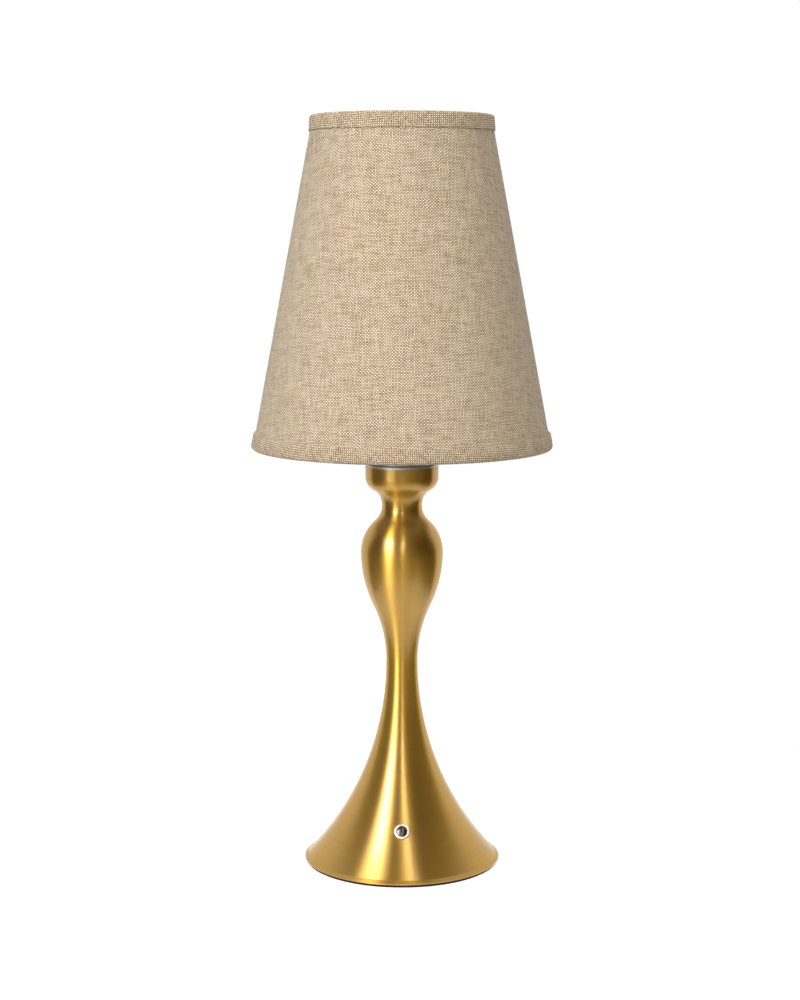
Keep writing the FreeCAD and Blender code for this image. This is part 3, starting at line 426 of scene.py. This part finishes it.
@dataclass(frozen=True)
class StudioLamp:
    """A lamp with a flat white face that points at the middle of the object.

    Angles are in degrees, with azimuth zero at the camera and growing to the right. Lengths are in
    metres. The radiance is that of the face, so a larger face gives more light.
    """

    name: str
    azimuth: float
    elevation: float
    distance: float
    width: float
    height: float
    radiance: float
    roll: float = 0.0
    reach: Reach = Reach.ALL

    def build(self, target: Vector) -> None:
        """Adds the lamp.

        Args:
            target: Point that the lamp faces.
        """
        turn, rise = math.radians(self.azimuth), math.radians(self.elevation)
        level = math.cos(rise)
        way = Vector((math.sin(turn) * level, -math.cos(turn) * level, math.sin(rise)))
        light = bpy.data.lights.new(self.name, "AREA")
        light.shape = "RECTANGLE"
        light.size = self.width
        light.size_y = self.height
        light.energy = self.radiance * math.pi * self.width * self.height
        lamp = bpy.data.objects.new(self.name, light)
        bpy.context.scene.collection.objects.link(lamp)
        lamp.location = target + way * self.distance
        rolled = Quaternion((0, 0, 1), math.radians(self.roll))
        lamp.rotation_euler = ((-way).to_track_quat("-Z", "Y") @ rolled).to_euler()
        lamp.visible_camera = False
        lamp.visible_diffuse, lamp.visible_glossy = self.reach.value


@dataclass
class Studio:
    """Camera, floor, lamps and surroundings: a white sweep behind, a dim room in front."""

    # Where the photograph was taken from: metres, degrees below level, and millimetres.
    camera_place: Vector = field(default_factory=lambda: Vector((-0.001, -1.022, 0.329)))
    camera_dip: float = 7.88
    lens: float = 73.15
    sensor: float = 36.0
    # Middle of the object, which the lamps face, and the floor from the camera's side to the back.
    target: Vector = field(default_factory=lambda: Vector((0.0, 0.0, 0.2)))
    floor_half: float = 0.24
    floor_back: float = 1.4
    floor_colour: str = "#e6e5e3"
    # What the floor adds to its own light where it is seen, and where metal mirrors it.
    floor_glow: float = 0.6
    floor_mirrored: float = 0.3
    # What metal mirrors all round: degrees of azimuth, and the colour of the room there.
    room_bands: tuple[tuple[float, str], ...] = (
        (-180, "#6e675c"), (-62, "#6e675c"), (-54, "#b4b0aa"), (-20, "#c0bcb4"), (-4, "#a8a196"),
        (16, "#aba191"), (28, "#776a56"), (50, "#473c2e"), (72, "#4b3f30"), (180, "#4b3f30"),
    )
    # The ceiling takes over from the walls as a ray's upward part grows between these.
    ceiling: str = "#5f5444"
    ceiling_start: float = 0.35
    ceiling_full: float = 0.8
    # White paper fills the room behind, from rays that go back or back and up by this share.
    sweep: str = "#efece7"
    sweep_rise: float = 0.5
    sweep_start: float = 0.27
    sweep_full: float = 0.48
    # What matt surfaces are lit by in place of the bands.
    matt_room: str = "#a4a29e"
    lamps: tuple[StudioLamp, ...] = (
        StudioLamp("softbox_left", -42, 27, 1.6, 0.84, 2.4, 2.3, roll=16, reach=Reach.MIRRORED),
        StudioLamp(
            "softbox_left_core", -41, 30, 1.55, 0.36, 1.05, 15.0, roll=16, reach=Reach.MIRRORED
        ),
        StudioLamp("fill_left", -34, 32, 1.6, 0.86, 1.9, 4.0, reach=Reach.MATT),
        StudioLamp("strip_right", 8, 42, 1.9, 0.15, 2.8, 8.0, roll=-15),
        StudioLamp("fill_front", 16, 15, 2.0, 1.4, 1.4, 1.1, reach=Reach.MATT),
        StudioLamp("fill_back", 162, 35, 1.8, 1.6, 1.4, 2.1, reach=Reach.MATT),
    )

    def build(self) -> None:
        """Adds the whole studio."""
        self.add_camera()
        self.add_floor()
        self.add_room()
        for lamp in self.lamps:
            lamp.build(self.target)
        log.info("studio: camera, floor, room and %d lamps", len(self.lamps))

    def add_camera(self) -> None:
        """Adds the camera where the photograph was taken from."""
        view = bpy.data.cameras.new("camera")
        view.lens = self.lens
        view.sensor_width = self.sensor
        camera = bpy.data.objects.new("camera", view)
        camera.location = self.camera_place
        camera.rotation_euler = (math.radians(90 - self.camera_dip), 0, 0)
        bpy.context.scene.collection.objects.link(camera)
        bpy.context.scene.camera = camera

    def add_floor(self) -> None:
        """Adds a white floor that still takes the object's shadow."""
        mesh = bpy.data.meshes.new("floor")
        half, back = self.floor_half, self.floor_back
        corners = [(-half, -half, 0), (half, -half, 0), (half, back, 0), (-half, back, 0)]
        mesh.from_pydata(corners, [], [(0, 1, 2, 3)])
        floor = bpy.data.objects.new("floor", mesh)
        bpy.context.scene.collection.objects.link(floor)
        material, tree = new_material("paper_sweep_white")
        matt = add_node(tree, "ShaderNodeBsdfDiffuse", {"Color": linear(self.floor_colour)})
        rays = add_node(tree, "ShaderNodeLightPath")
        mirrored = add_node(
            tree, "ShaderNodeMath",
            {"operation": "MULTIPLY", 1: self.floor_mirrored / self.floor_glow},
            {0: rays.outputs["Is Glossy Ray"]},
        )
        seen = add_node(
            tree, "ShaderNodeMath", {"operation": "MAXIMUM"},
            {0: rays.outputs["Is Camera Ray"], 1: mirrored.outputs[0]},
        )
        seen_through = add_node(
            tree, "ShaderNodeMath", {"operation": "MAXIMUM"},
            {0: seen.outputs[0], 1: rays.outputs["Is Transmission Ray"]},
        )
        strength = add_node(
            tree, "ShaderNodeMath", {"operation": "MULTIPLY", 1: self.floor_glow},
            {0: seen_through.outputs[0]},
        )
        glow = add_node(tree, "ShaderNodeEmission", links={"Strength": strength.outputs[0]})
        both = add_node(
            tree, "ShaderNodeAddShader", links={0: matt.outputs[0], 1: glow.outputs[0]}
        )
        finish_material(tree, both)
        mesh.materials.append(material)

    def room_walls(
        self, tree: bpy.types.NodeTree, parts: bpy.types.Node
    ) -> bpy.types.NodeSocket:
        """Adds the bands of light and dark all round, and the ceiling over them.

        Args:
            tree: Node tree of the world.
            parts: Node that gives the three parts of a ray's direction.

        Returns:
            Colour of walls and ceiling.
        """
        toward = add_node(
            tree, "ShaderNodeMath", {"operation": "MULTIPLY", 1: -1.0}, {0: parts.outputs["Y"]}
        )
        turn = add_node(
            tree, "ShaderNodeMath", {"operation": "ARCTAN2"},
            {0: parts.outputs["X"], 1: toward.outputs[0]},
        )
        share = add_node(
            tree, "ShaderNodeMapRange", {"From Min": -math.pi, "From Max": math.pi},
            {"Value": turn.outputs[0]},
        )
        bands = add_node(tree, "ShaderNodeValToRGB", links={"Fac": share.outputs[0]})
        stops = bands.color_ramp.elements
        while len(stops) < len(self.room_bands):
            stops.new(1.0)
        for stop, (azimuth, colour) in zip(stops, self.room_bands):
            stop.position = azimuth / 360 + 0.5
            stop.color = linear(colour)
        rise = add_node(
            tree, "ShaderNodeMapRange",
            {
                "interpolation_type": "SMOOTHSTEP", "From Min": self.ceiling_start,
                "From Max": self.ceiling_full,
            },
            {"Value": parts.outputs["Z"]},
        )
        walls = add_node(
            tree, "ShaderNodeMix", {"data_type": "RGBA", 7: linear(self.ceiling)},
            {0: rise.outputs[0], 6: bands.outputs[0]},
        )
        return walls.outputs[2]

    def sweep_share(
        self, tree: bpy.types.NodeTree, parts: bpy.types.Node
    ) -> bpy.types.NodeSocket:
        """Adds the white paper that hangs behind the object.

        Args:
            tree: Node tree of the world.
            parts: Node that gives the three parts of a ray's direction.

        Returns:
            How much of the paper a ray meets, from nought to one.
        """
        above = add_node(
            tree, "ShaderNodeMath", {"operation": "MAXIMUM", 1: 0.0}, {0: parts.outputs["Z"]}
        )
        behind = add_node(
            tree, "ShaderNodeMath", {"operation": "MULTIPLY_ADD", 1: self.sweep_rise},
            {0: above.outputs[0], 2: parts.outputs["Y"]},
        )
        paper = add_node(
            tree, "ShaderNodeMapRange",
            {
                "interpolation_type": "SMOOTHSTEP", "From Min": self.sweep_start,
                "From Max": self.sweep_full,
            },
            {"Value": behind.outputs[0]},
        )
        return paper.outputs[0]

    def add_room(self) -> None:
        """Sets what metal mirrors, what lights matt surfaces, and white to the camera."""
        world = bpy.data.worlds.new("studio_room")
        world.use_nodes = True
        tree = world.node_tree
        tree.nodes.clear()
        way = add_node(tree, "ShaderNodeTexCoord")
        parts = add_node(tree, "ShaderNodeSeparateXYZ", links={0: way.outputs["Generated"]})
        mirrored = add_node(
            tree, "ShaderNodeMix", {"data_type": "RGBA", 7: linear(self.sweep)},
            {0: self.sweep_share(tree, parts), 6: self.room_walls(tree, parts)},
        )
        rays = add_node(tree, "ShaderNodeLightPath")
        lit = add_node(
            tree, "ShaderNodeMix", {"data_type": "RGBA", 7: linear(self.matt_room)},
            {0: rays.outputs["Is Diffuse Ray"], 6: mirrored.outputs[2]},
        )
        seen = add_node(
            tree, "ShaderNodeMix", {"data_type": "RGBA", 7: linear(WHITE)},
            {0: rays.outputs["Is Camera Ray"], 6: lit.outputs[2]},
        )
        room = add_node(tree, "ShaderNodeBackground", links={"Color": seen.outputs[2]})
        add_node(tree, "ShaderNodeOutputWorld", links={"Surface": room.outputs[0]})
        bpy.context.scene.world = world
        bpy.context.scene.view_settings.view_transform = "Standard"


@dataclass(frozen=True)
class WovenLinen:
    """Linen in a coarse plain weave, unbleached, with thick and thin places in its thread.

    Each thread shows as a row of humps where it passes over. Colour follows their height:
    a painted highlight on top and painted shade in the gaps.
    Lengths are in millimetres, and the thread pitches were counted in the photograph.
    """

    name: str = "linen_plain_weave_unbleached"
    # The lightest colour is a painted highlight on the humps, the darkest painted shade in the gaps.
    painted_hump_highlight: str = "#fff0d9"
    thread: str = "#c8ae89"
    gap: str = "#5c4527"
    # Shares of a full hump's height at which the three colours are reached: the painted shade of
    # the gaps, the thread's own colour, and the painted highlight on top.
    gap_height: float = 0.08
    thread_height: float = 0.36
    hump_height: float = 0.8
    # How high the upright threads stand beside the level ones.
    warp_height: float = 0.36
    warp_pitch: float = 0.775
    weft_pitch: float = 0.725
    slub_length: float = 9.0
    # A thread's fullness goes from the first to the second as its own noise goes over the range.
    slub_fullness: tuple[float, float] = (0.74, 1.75)
    slub_range: tuple[float, float] = (0.36, 0.72)
    # Distance between neighbouring threads in that noise, so that no slub is shared.
    slub_step: float = 3.7
    slub_detail: float = 3.0
    # How far a thread strays from its line over the whole range of the noise.
    thread_sway: float = 1.68
    thread_sway_detail: float = 2.0
    depth: float = 0.42
    depth_strength: float = 0.65
    roughness: float = 0.88
    sheen: float = 0.15
    sheen_roughness: float = 0.5

    def count_threads(self, tree: bpy.types.NodeTree) -> bpy.types.NodeSocket:
        """Adds the place on the flat cloth, counted in threads both ways.

        Args:
            tree: Node tree of the material.

        Returns:
            Number of the upright thread and of the level one, with how far across each.
        """
        cut = add_node(tree, "ShaderNodeTexCoord")
        sway = add_node(
            tree, "ShaderNodeTexNoise",
            {"Scale": 1 / (self.slub_length * MM), "Detail": self.thread_sway_detail},
            {"Vector": cut.outputs["UV"]},
        )
        swayed = add_node(
            tree, "ShaderNodeVectorMath",
            {"operation": "MULTIPLY", 1: (self.thread_sway * MM, self.thread_sway * MM, 0.0)},
            {0: sway.outputs["Color"]},
        )
        laid = add_node(
            tree, "ShaderNodeVectorMath", {"operation": "ADD"},
            {0: cut.outputs["UV"], 1: swayed.outputs[0]},
        )
        pitches = (1 / (self.warp_pitch * MM), 1 / (self.weft_pitch * MM), 0.0)
        counted = add_node(
            tree, "ShaderNodeVectorMath", {"operation": "MULTIPLY", 1: pitches},
            {0: laid.outputs[0]},
        )
        return counted.outputs[0]

    def humps(
        self, tree: bpy.types.NodeTree, counted: bpy.types.NodeSocket, level_over: bpy.types.NodeSocket
    ) -> bpy.types.NodeSocket:
        """Adds the humps of the threads, each rounded across and arched along itself.

        Args:
            tree: Node tree of the material.
            counted: Place counted in threads.
            level_over: One where the level thread passes over, nought where the upright one does.

        Returns:
            Height of the weave, as a share of a level thread's hump.
        """
        inside = add_node(tree, "ShaderNodeVectorMath", {"operation": "FRACTION"}, {0: counted})
        middle = add_node(
            tree, "ShaderNodeVectorMath", {"operation": "SUBTRACT", 1: (0.5, 0.5, 0.0)},
            {0: inside.outputs[0]},
        )
        angle = add_node(
            tree, "ShaderNodeVectorMath", {"operation": "MULTIPLY", 1: (math.pi, math.pi, 0.0)},
            {0: middle.outputs[0]},
        )
        round_off = add_node(
            tree, "ShaderNodeVectorMath", {"operation": "COSINE"}, {0: angle.outputs[0]}
        )
        rounded = add_node(tree, "ShaderNodeSeparateXYZ", links={0: round_off.outputs[0]})
        upright, level = [
            add_node(
                tree, "ShaderNodeMath", {"operation": "MULTIPLY"},
                {
                    0: rounded.outputs[across],
                    1: add_node(
                        tree, "ShaderNodeMath", {"operation": "MULTIPLY_ADD", 1: 0.5, 2: 0.5},
                        {0: rounded.outputs[along]},
                    ).outputs[0],
                },
            )
            for across, along in (("X", "Y"), ("Y", "X"))
        ]
        lowered = add_node(
            tree, "ShaderNodeMath", {"operation": "MULTIPLY", 1: self.warp_height},
            {0: upright.outputs[0]},
        )
        height = add_node(
            tree, "ShaderNodeMix", {"data_type": "FLOAT"},
            {0: level_over, 2: lowered.outputs[0], 3: level.outputs[0]},
        )
        return height.outputs[0]

    def fullness(
        self, tree: bpy.types.NodeTree, counted: bpy.types.NodeSocket,
        thread_number: bpy.types.Node, level_over: bpy.types.NodeSocket,
    ) -> bpy.types.NodeSocket:
        """Adds the slubs: thick and thin places along each thread, of its own.

        Args:
            tree: Node tree of the material.
            counted: Place counted in threads.
            thread_number: Node that gives the whole numbers of both threads.
            level_over: One where the level thread passes over, nought where the upright one does.

        Returns:
            How full the thread on top is.
        """
        run = add_node(tree, "ShaderNodeSeparateXYZ", links={0: counted})
        slubs = []
        for own, along in (("X", "Y"), ("Y", "X")):
            thin = add_node(
                tree, "ShaderNodeMath",
                {"operation": "MULTIPLY", 1: self.warp_pitch / self.slub_length},
                {0: run.outputs[along]},
            )
            row = add_node(
                tree, "ShaderNodeMath", {"operation": "MULTIPLY", 1: self.slub_step},
                {0: thread_number.outputs[own]},
            )
            thread = add_node(
                tree, "ShaderNodeCombineXYZ", links={"X": row.outputs[0], "Y": thin.outputs[0]}
            )
            slub = add_node(
                tree, "ShaderNodeTexNoise",
                {"noise_dimensions": "2D", "Scale": 1.0, "Detail": self.slub_detail},
                {"Vector": thread.outputs[0]},
            )
            slubs.append(slub.outputs["Fac"])
        on_top = add_node(
            tree, "ShaderNodeMix", {"data_type": "FLOAT"}, {0: level_over, 2: slubs[0], 3: slubs[1]}
        )
        full = add_node(
            tree, "ShaderNodeMapRange",
            {
                "From Min": self.slub_range[0], "From Max": self.slub_range[1],
                "To Min": self.slub_fullness[0], "To Max": self.slub_fullness[1],
            },
            {"Value": on_top.outputs[0]},
        )
        return full.outputs[0]

    def build(self) -> bpy.types.Material:
        """Makes the material.

        Returns:
            The material.
        """
        material, tree = new_material(self.name)
        counted = self.count_threads(tree)
        whole = add_node(tree, "ShaderNodeVectorMath", {"operation": "FLOOR"}, {0: counted})
        number = add_node(tree, "ShaderNodeSeparateXYZ", links={0: whole.outputs[0]})
        total = add_node(
            tree, "ShaderNodeMath", {"operation": "ADD"},
            {0: number.outputs["X"], 1: number.outputs["Y"]},
        )
        # In a plain weave the two ways take turns, by whether the sum of both numbers is even.
        level_over = add_node(
            tree, "ShaderNodeMath", {"operation": "PINGPONG", 1: 1.0}, {0: total.outputs[0]}
        ).outputs[0]
        height = add_node(
            tree, "ShaderNodeMath", {"operation": "MULTIPLY"},
            {
                0: self.humps(tree, counted, level_over),
                1: self.fullness(tree, counted, number, level_over),
            },
        )
        # Colour by the weave's height: painted shade in the gaps, a painted highlight on the humps.
        colour = add_node(tree, "ShaderNodeValToRGB", links={"Fac": height.outputs[0]})
        stops = colour.color_ramp.elements
        stops.new(0.5)
        shades = (
            (self.gap_height, self.gap),
            (self.thread_height, self.thread),
            (self.hump_height, self.painted_hump_highlight),
        )
        for stop, (place, shade) in zip(stops, shades):
            stop.position = place
            stop.color = linear(shade)
        bump = add_node(
            tree, "ShaderNodeBump",
            {"Strength": self.depth_strength, "Distance": self.depth * MM},
            {"Height": height.outputs[0]},
        )
        shader = add_node(
            tree, "ShaderNodeBsdfPrincipled",
            {
                "Roughness": self.roughness, "Sheen Weight": self.sheen,
                "Sheen Roughness": self.sheen_roughness,
            },
            {"Base Color": colour.outputs[0], "Normal": bump.outputs[0]},
        )
        finish_material(tree, shader)
        return material


def dress(node: str, material: bpy.types.Material) -> None:
    """Gives a CAD node its material and smooth shading.

    Args:
        node: Name of the node.
        material: Material for the whole node.
    """
    piece = frame["nodes"][node]
    piece.data.materials.clear()
    piece.data.materials.append(material)
    piece.data.shade_smooth()
    piece.data.set_sharp_from_angle(angle=HIDDEN_BEND)
    log.info("%s: %s", node, material.name)


def rim_radius(node: str, height: float) -> float:
    """Reads the outer radius of a turned node at one of its edges.

    Args:
        node: Name of the node.
        height: Height of the edge.

    Returns:
        Largest distance from the axis.
    """
    points = [point.co for point in frame["nodes"][node].data.vertices]
    return max(math.hypot(point.x, point.y) for point in points if abs(point.z - height) < EDGE_REACH)


@dataclass
class Materials:
    """Makes each material once, when a piece first asks for it."""

    made: dict[str, bpy.types.Material] = field(default_factory=dict)

    def of(self, finish: Finish) -> bpy.types.Material:
        """Gives the material of a finish.

        Args:
            finish: One of the finishes above.

        Returns:
            The material.
        """
        if finish.name not in self.made:
            self.made[finish.name] = finish.build()
        return self.made[finish.name]


@dataclass
class SubAssembly:
    """A group of pieces that come as one, with a finish for each CAD node that is shown as it is."""

    finishes: dict[str, Finish] = field(default_factory=dict)

    def build(self, materials: Materials) -> None:
        """Dresses the group's CAD nodes.

        Args:
            materials: Store of the materials that are made so far.
        """
        for node, finish in self.finishes.items():
            dress(node, materials.of(finish))


@dataclass
class Foot(SubAssembly):
    """Spun brass foot with its pad, plate and weight."""

    finishes: dict[str, Finish] = field(default_factory=lambda: {
        "base_pad": FOAM_RUBBER,
        "base_plate": ZINC_PLATE,
        "ballast_weight": CAST_IRON,
        "ballast_screws": ZINC_PLATE,
        "foot_shell": BrushedBrass(),
    })


@dataclass
class Column(SubAssembly):
    """Turned column and cup, clamped by a threaded rod."""

    finishes: dict[str, Finish] = field(default_factory=lambda: {
        "baluster": BrushedBrass(),
        "cup_shell": BrushedBrass(),
        "stem_rod": ZINC_PLATE,
        "rod_nuts": ZINC_PLATE,
        "cup_washer": ZINC_PLATE,
    })


@dataclass
class PowerPack(SubAssembly):
    """Cell, cradle, board and charging inlet."""

    finishes: dict[str, Finish] = field(default_factory=lambda: {
        "battery_cradle": BLACK_ABS,
        "battery_cell": CELL_SLEEVE,
        "control_board": BOARD_GREEN,
        "charging_inlet": POLISHED_STEEL,
        "inlet_surround": BLACK_ABS,
    })


@dataclass
class PushSwitch(SubAssembly):
    """Push switch on the front of the foot."""

    finishes: dict[str, Finish] = field(default_factory=lambda: {
        "switch_ring": NICKEL_PAINTED_BRIGHT,
        "switch_cap": NICKEL_PAINTED_DARK,
        "switch_block": BLACK_ABS,
        "switch_nut": POLISHED_STEEL,
        "switch_spring": POLISHED_STEEL,
    })
    press: str = "switch_press"

    def build(self, materials: Materials) -> None:
        """Dresses the switch, and shows a copy of the spring's winding on the root in its place.

        Args:
            materials: Store of the materials that are made so far.
        """
        super().build(materials)
        joint = next(joint for joint in frame["joints"] if joint["name"] == self.press)
        way = Vector(joint["axis"])
        winding = frame["nodes"]["switch_spring"].data.copy()
        coil = bpy.data.objects.new("switch_spring_coil", winding)
        bpy.context.scene.collection.objects.link(coil)
        places = [point.co.dot(way) for point in coil.data.vertices]
        length = max(places) - min(places)
        keep = (length - joint["range_m"][1]) / length
        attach(coil, "root")
        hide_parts("switch_spring")
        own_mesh(coil)
        log.info("%s: keeps %.2f of its length", coil.name, keep)


@dataclass
class LightHead(SubAssembly):
    """Lid of the cup, collar and the light."""

    finishes: dict[str, Finish] = field(default_factory=lambda: {
        "cup_lid": SATIN_NICKEL,
        "light_collar": SATIN_NICKEL,
        "led_heat_sink": TURNED_ALUMINIUM,
        "led_board": BOARD_WHITE,
        "diffuser": OPAL_PLASTIC,
        "seat_washer": CLEAR_SILICONE,
    })


@dataclass
class ShadeFrame(SubAssembly):
    """Ring, arms and wires that hold the shade."""

    finishes: dict[str, Finish] = field(default_factory=lambda: {
        "fitter_ring": ZINC_PLATE,
        "frame_arm_1": ZINC_PLATE,
        "frame_arm_2": ZINC_PLATE,
        "frame_arm_3": ZINC_PLATE,
        "hem_wire": ZINC_PLATE,
        "crown_wire": ZINC_PLATE,
    })


@dataclass
class Lathe:
    """A ring-shaped mesh: a closed section carried round the axis, with the flat cloth as its UV."""

    name: str
    steps: int = 360

    def turn(self, step: int) -> float:
        """Turn about the axis at a step, which is zero at the front."""
        return FULL_TURN * (step / self.steps - 0.5)

    def mesh(self, section: Section, layout: Layout) -> bpy.types.Object:
        """Builds the mesh.

        Args:
            section: Gives the section at a turn, with as many points at each.
            layout: Gives the place of a section's point on the flat cloth.

        Returns:
            The new object.
        """
        count = len(section(0.0))
        points, faces, flat = [], [], []
        for step in range(self.steps):
            turn = self.turn(step)
            points += [(r * math.sin(turn), -r * math.cos(turn), z) for r, z in section(turn)]
        for step in range(self.steps):
            near, far = step * count, (step + 1) % self.steps * count
            here, there = self.turn(step), self.turn(step + 1)
            for edge in range(count):
                after = (edge + 1) % count
                faces.append((near + edge, far + edge, far + after, near + after))
                flat += [layout(here, edge), layout(there, edge)]
                flat += [layout(there, edge + 1), layout(here, edge + 1)]
        mesh = bpy.data.meshes.new(self.name)
        mesh.from_pydata(points, [], faces)
        for corner, place in zip(mesh.uv_layers.new(name="flat_cut").data, flat):
            corner.uv = place
        mesh.validate()
        mesh.shade_smooth()
        mesh.set_sharp_from_angle(angle=HIDDEN_BEND)
        made = bpy.data.objects.new(self.name, mesh)
        bpy.context.scene.collection.objects.link(made)
        return made


@dataclass(frozen=True)
class Cone:
    """Outer face of the shade's cloth: its two edges by height and radius."""

    low: float
    high: float
    low_radius: float
    high_radius: float

    @classmethod
    def of_node(cls, node: str) -> "Cone":
        """Reads the cone from a CAD node.

        Args:
            node: Name of the node.

        Returns:
            The cone of its outer face.
        """
        low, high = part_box(node)
        return cls(low.z, high.z, rim_radius(node, low.z), rim_radius(node, high.z))

    @property
    def lean(self) -> float:
        """Sine of the angle between the cloth and the axis."""
        taper = self.low_radius - self.high_radius
        return taper / math.hypot(taper, self.high - self.low)

    def radius(self, height: float) -> float:
        """Outer radius of the cloth at a height."""
        share = (height - self.low) / (self.high - self.low)
        return self.low_radius + (self.high_radius - self.low_radius) * share


@dataclass(frozen=True)
class BiasStrip:
    """A bias strip that is folded round one edge of the shade and over the wire in it.

    It starts with a folded lip on the cloth outside, goes over the wire and ends in a flap inside.
    Its lip and its fold stray a little, as those of a strip turned over by hand do.
    """

    node: str
    wire: str
    # Up for the strip of the top edge, down for that of the bottom edge.
    way: int
    lip_seed: float
    ease_seed: float
    sway: float = 0.16 * MM
    sway_length: float = 7 * MM
    ease_share: float = 0.5
    # The lip: from the strip's end, from its widest, and the round of its fold.
    lip_rise: float = 0.14 * MM
    lip_inset: float = 0.1 * MM
    fold_inset: float = 0.15 * MM
    fold_rise: float = 0.22 * MM
    # The turned-in edge under the lip, just clear of the cloth.
    under_gap: float = 0.03 * MM
    under_rise: float = 0.05 * MM
    # Gaps between the wire and the strip's two faces, and the step of the bend in degrees.
    outer_gap: float = 0.56 * MM
    inner_gap: float = 0.06 * MM
    bend_step: int = 30
    # The flap: from the strip's end, and its two faces from the cloth's outer face.
    flap_rise: float = 1.7 * MM
    flap_inner: float = 2.05 * MM
    flap_outer: float = 1.55 * MM

    def build(self, cone: Cone) -> bpy.types.Object:
        """Builds the strip.

        Args:
            cone: Outer face of the cloth that it is folded on.

        Returns:
            The strip.
        """
        low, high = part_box(self.node)
        end, rim = (low.z, high.z) if self.way > 0 else (high.z, low.z)
        wire_low, wire_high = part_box(self.wire)
        wire = (wire_high.z - wire_low.z) / 2
        centre = Vector((wire_high.x - wire, (wire_high.z + wire_low.z) / 2))
        widest = rim_radius(self.node, end)

        def round_wire(gap: float, angles: range) -> list[tuple[float, float]]:
            """Goes round the wire.

            Args:
                gap: How far from the wire's surface.
                angles: Degrees from the wire's outer side, over the side away from the cloth.

            Returns:
                The points at those angles.
            """
            reach = wire + gap
            turns = [math.radians(angle) for angle in angles]
            return [
                (centre.x + reach * math.cos(a), centre.y + self.way * reach * math.sin(a))
                for a in turns
            ]

        def section(turn: float) -> list[tuple[float, float]]:
            """Gives the strip's section: out along the cone, round the wire and back inside.

            Args:
                turn: Turn about the axis.

            Returns:
                Radius and height of each point.
            """
            edge = end + self.way * (self.lip_rise + self.stray(cone, turn, self.lip_seed))
            ease = self.stray(cone, turn, self.ease_seed) * self.ease_share
            lip = widest - self.lip_inset + ease
            outer = round_wire(self.outer_gap, range(0, 181, self.bend_step))
            inner = round_wire(self.inner_gap, range(180, -1, -self.bend_step))
            half = ((lip + outer[0][0]) / 2 + ease, (edge + outer[0][1]) / 2)
            flap = end + self.way * self.flap_rise
            return [
                (cone.radius(edge) + self.under_gap, edge + self.way * self.under_rise),
                (lip - self.fold_inset, edge), (lip, edge + self.way * self.fold_rise), half, *outer,
                (cone.radius(flap) - self.flap_inner, flap),
                (cone.radius(flap) - self.flap_outer, flap), *inner,
            ]

        base = section(0.0)
        along = [0.0]
        for before, after in zip(base, base[1:] + base[:1]):
            along.append(along[-1] + math.dist(before, after))

        def layout(turn: float, number: int) -> tuple[float, float]:
            """Place on the strip, turned by an eighth because it is cut on the bias."""
            run, rise = turn * cone.radius(rim), along[number]
            return (run + rise) * math.sqrt(0.5), (run - rise) * math.sqrt(0.5)

        return Lathe(self.node + "_cloth").mesh(section, layout)

    def stray(self, cone: Cone, turn: float, seed: float) -> float:
        """Small unevenness of an edge turned over by hand.

        Args:
            cone: Outer face of the cloth.
            turn: Turn about the axis.
            seed: Which edge.

        Returns:
            How far the edge strays.
        """
        reach = cone.low_radius / self.sway_length
        place = Vector((math.cos(turn) * reach, math.sin(turn) * reach, seed))
        return noise.noise(place) * self.sway


@dataclass
class ClothShade(SubAssembly):
    """Linen laminated on white film, rolled into a cone and edged with folded bias strips."""

    finishes: dict[str, Finish] = field(default_factory=lambda: {"shade_liner": SHADE_FILM})
    linen: WovenLinen = WovenLinen()
    # The strips get a darker copy of the linen as painted shade, with darker painted shade in its
    # gaps.
    shaded_strip_linen: WovenLinen = WovenLinen(
        "linen_bias_strip_painted_shade", painted_hump_highlight="#fdead0", thread="#bda37d", gap="#4c3818"
    )
    hem: BiasStrip = BiasStrip("hem_trim", "hem_wire", -1, lip_seed=5.0, ease_seed=13.0)
    crown: BiasStrip = BiasStrip("crown_trim", "crown_wire", 1, lip_seed=1.0, ease_seed=9.0)
    thickness: float = 0.5 * MM
    rows: int = 40

    def build(self, materials: Materials) -> None:
        """Builds and dresses the shade.

        Args:
            materials: Store of the materials that are made so far.
        """
        super().build(materials)
        cone = Cone.of_node("shade_fabric")
        linen, shaded_strip_linen = materials.of(self.linen), materials.of(self.shaded_strip_linen)
        fabric, hem, crown = self.fabric(cone), self.hem.build(cone), self.crown.build(cone)
        for piece, node, slot, cloth in (
            (fabric, "shade_fabric", "woven_linen", linen),
            (hem, "hem_trim", "linen_trim", shaded_strip_linen),
            (crown, "crown_trim", "linen_trim", shaded_strip_linen),
        ):
            piece.data.materials.append(cloth)
            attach(piece, "shade")
            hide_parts(node)
            log.info("%s: %s", piece.name, cloth.name)

    def fabric(self, cone: Cone) -> bpy.types.Object:
        """Builds the cone of cloth, with its weave straight on the flat cut.

        Args:
            cone: Outer face of the cloth.

        Returns:
            The cloth.
        """
        lean = cone.lean
        levels = [cone.low + (cone.high - cone.low) * row / self.rows for row in range(self.rows + 1)]
        outside = [(cone.radius(level), level) for level in levels]
        inside = [(radius - self.thickness, level) for radius, level in reversed(outside)]
        ring = outside + inside

        def layout(turn: float, number: int) -> tuple[float, float]:
            """Place on the flat cut, a ring sector whose middle line is the front of the shade."""
            reach, swing = ring[number % len(ring)][0] / lean, turn * lean
            return reach * math.sin(swing), -reach * math.cos(swing)

        return Lathe("shade_cloth").mesh(lambda turn: ring, layout)


def main() -> None:
    """Builds the studio and dresses every piece of the lamp."""
    logging.basicConfig(level=logging.INFO, format="%(message)s")
    Studio().build()
    materials = Materials()
    for group in (Foot, Column, PowerPack, PushSwitch, LightHead, ShadeFrame, ClothShade):
        group().build(materials)


if __name__ == "__main__":
    main()
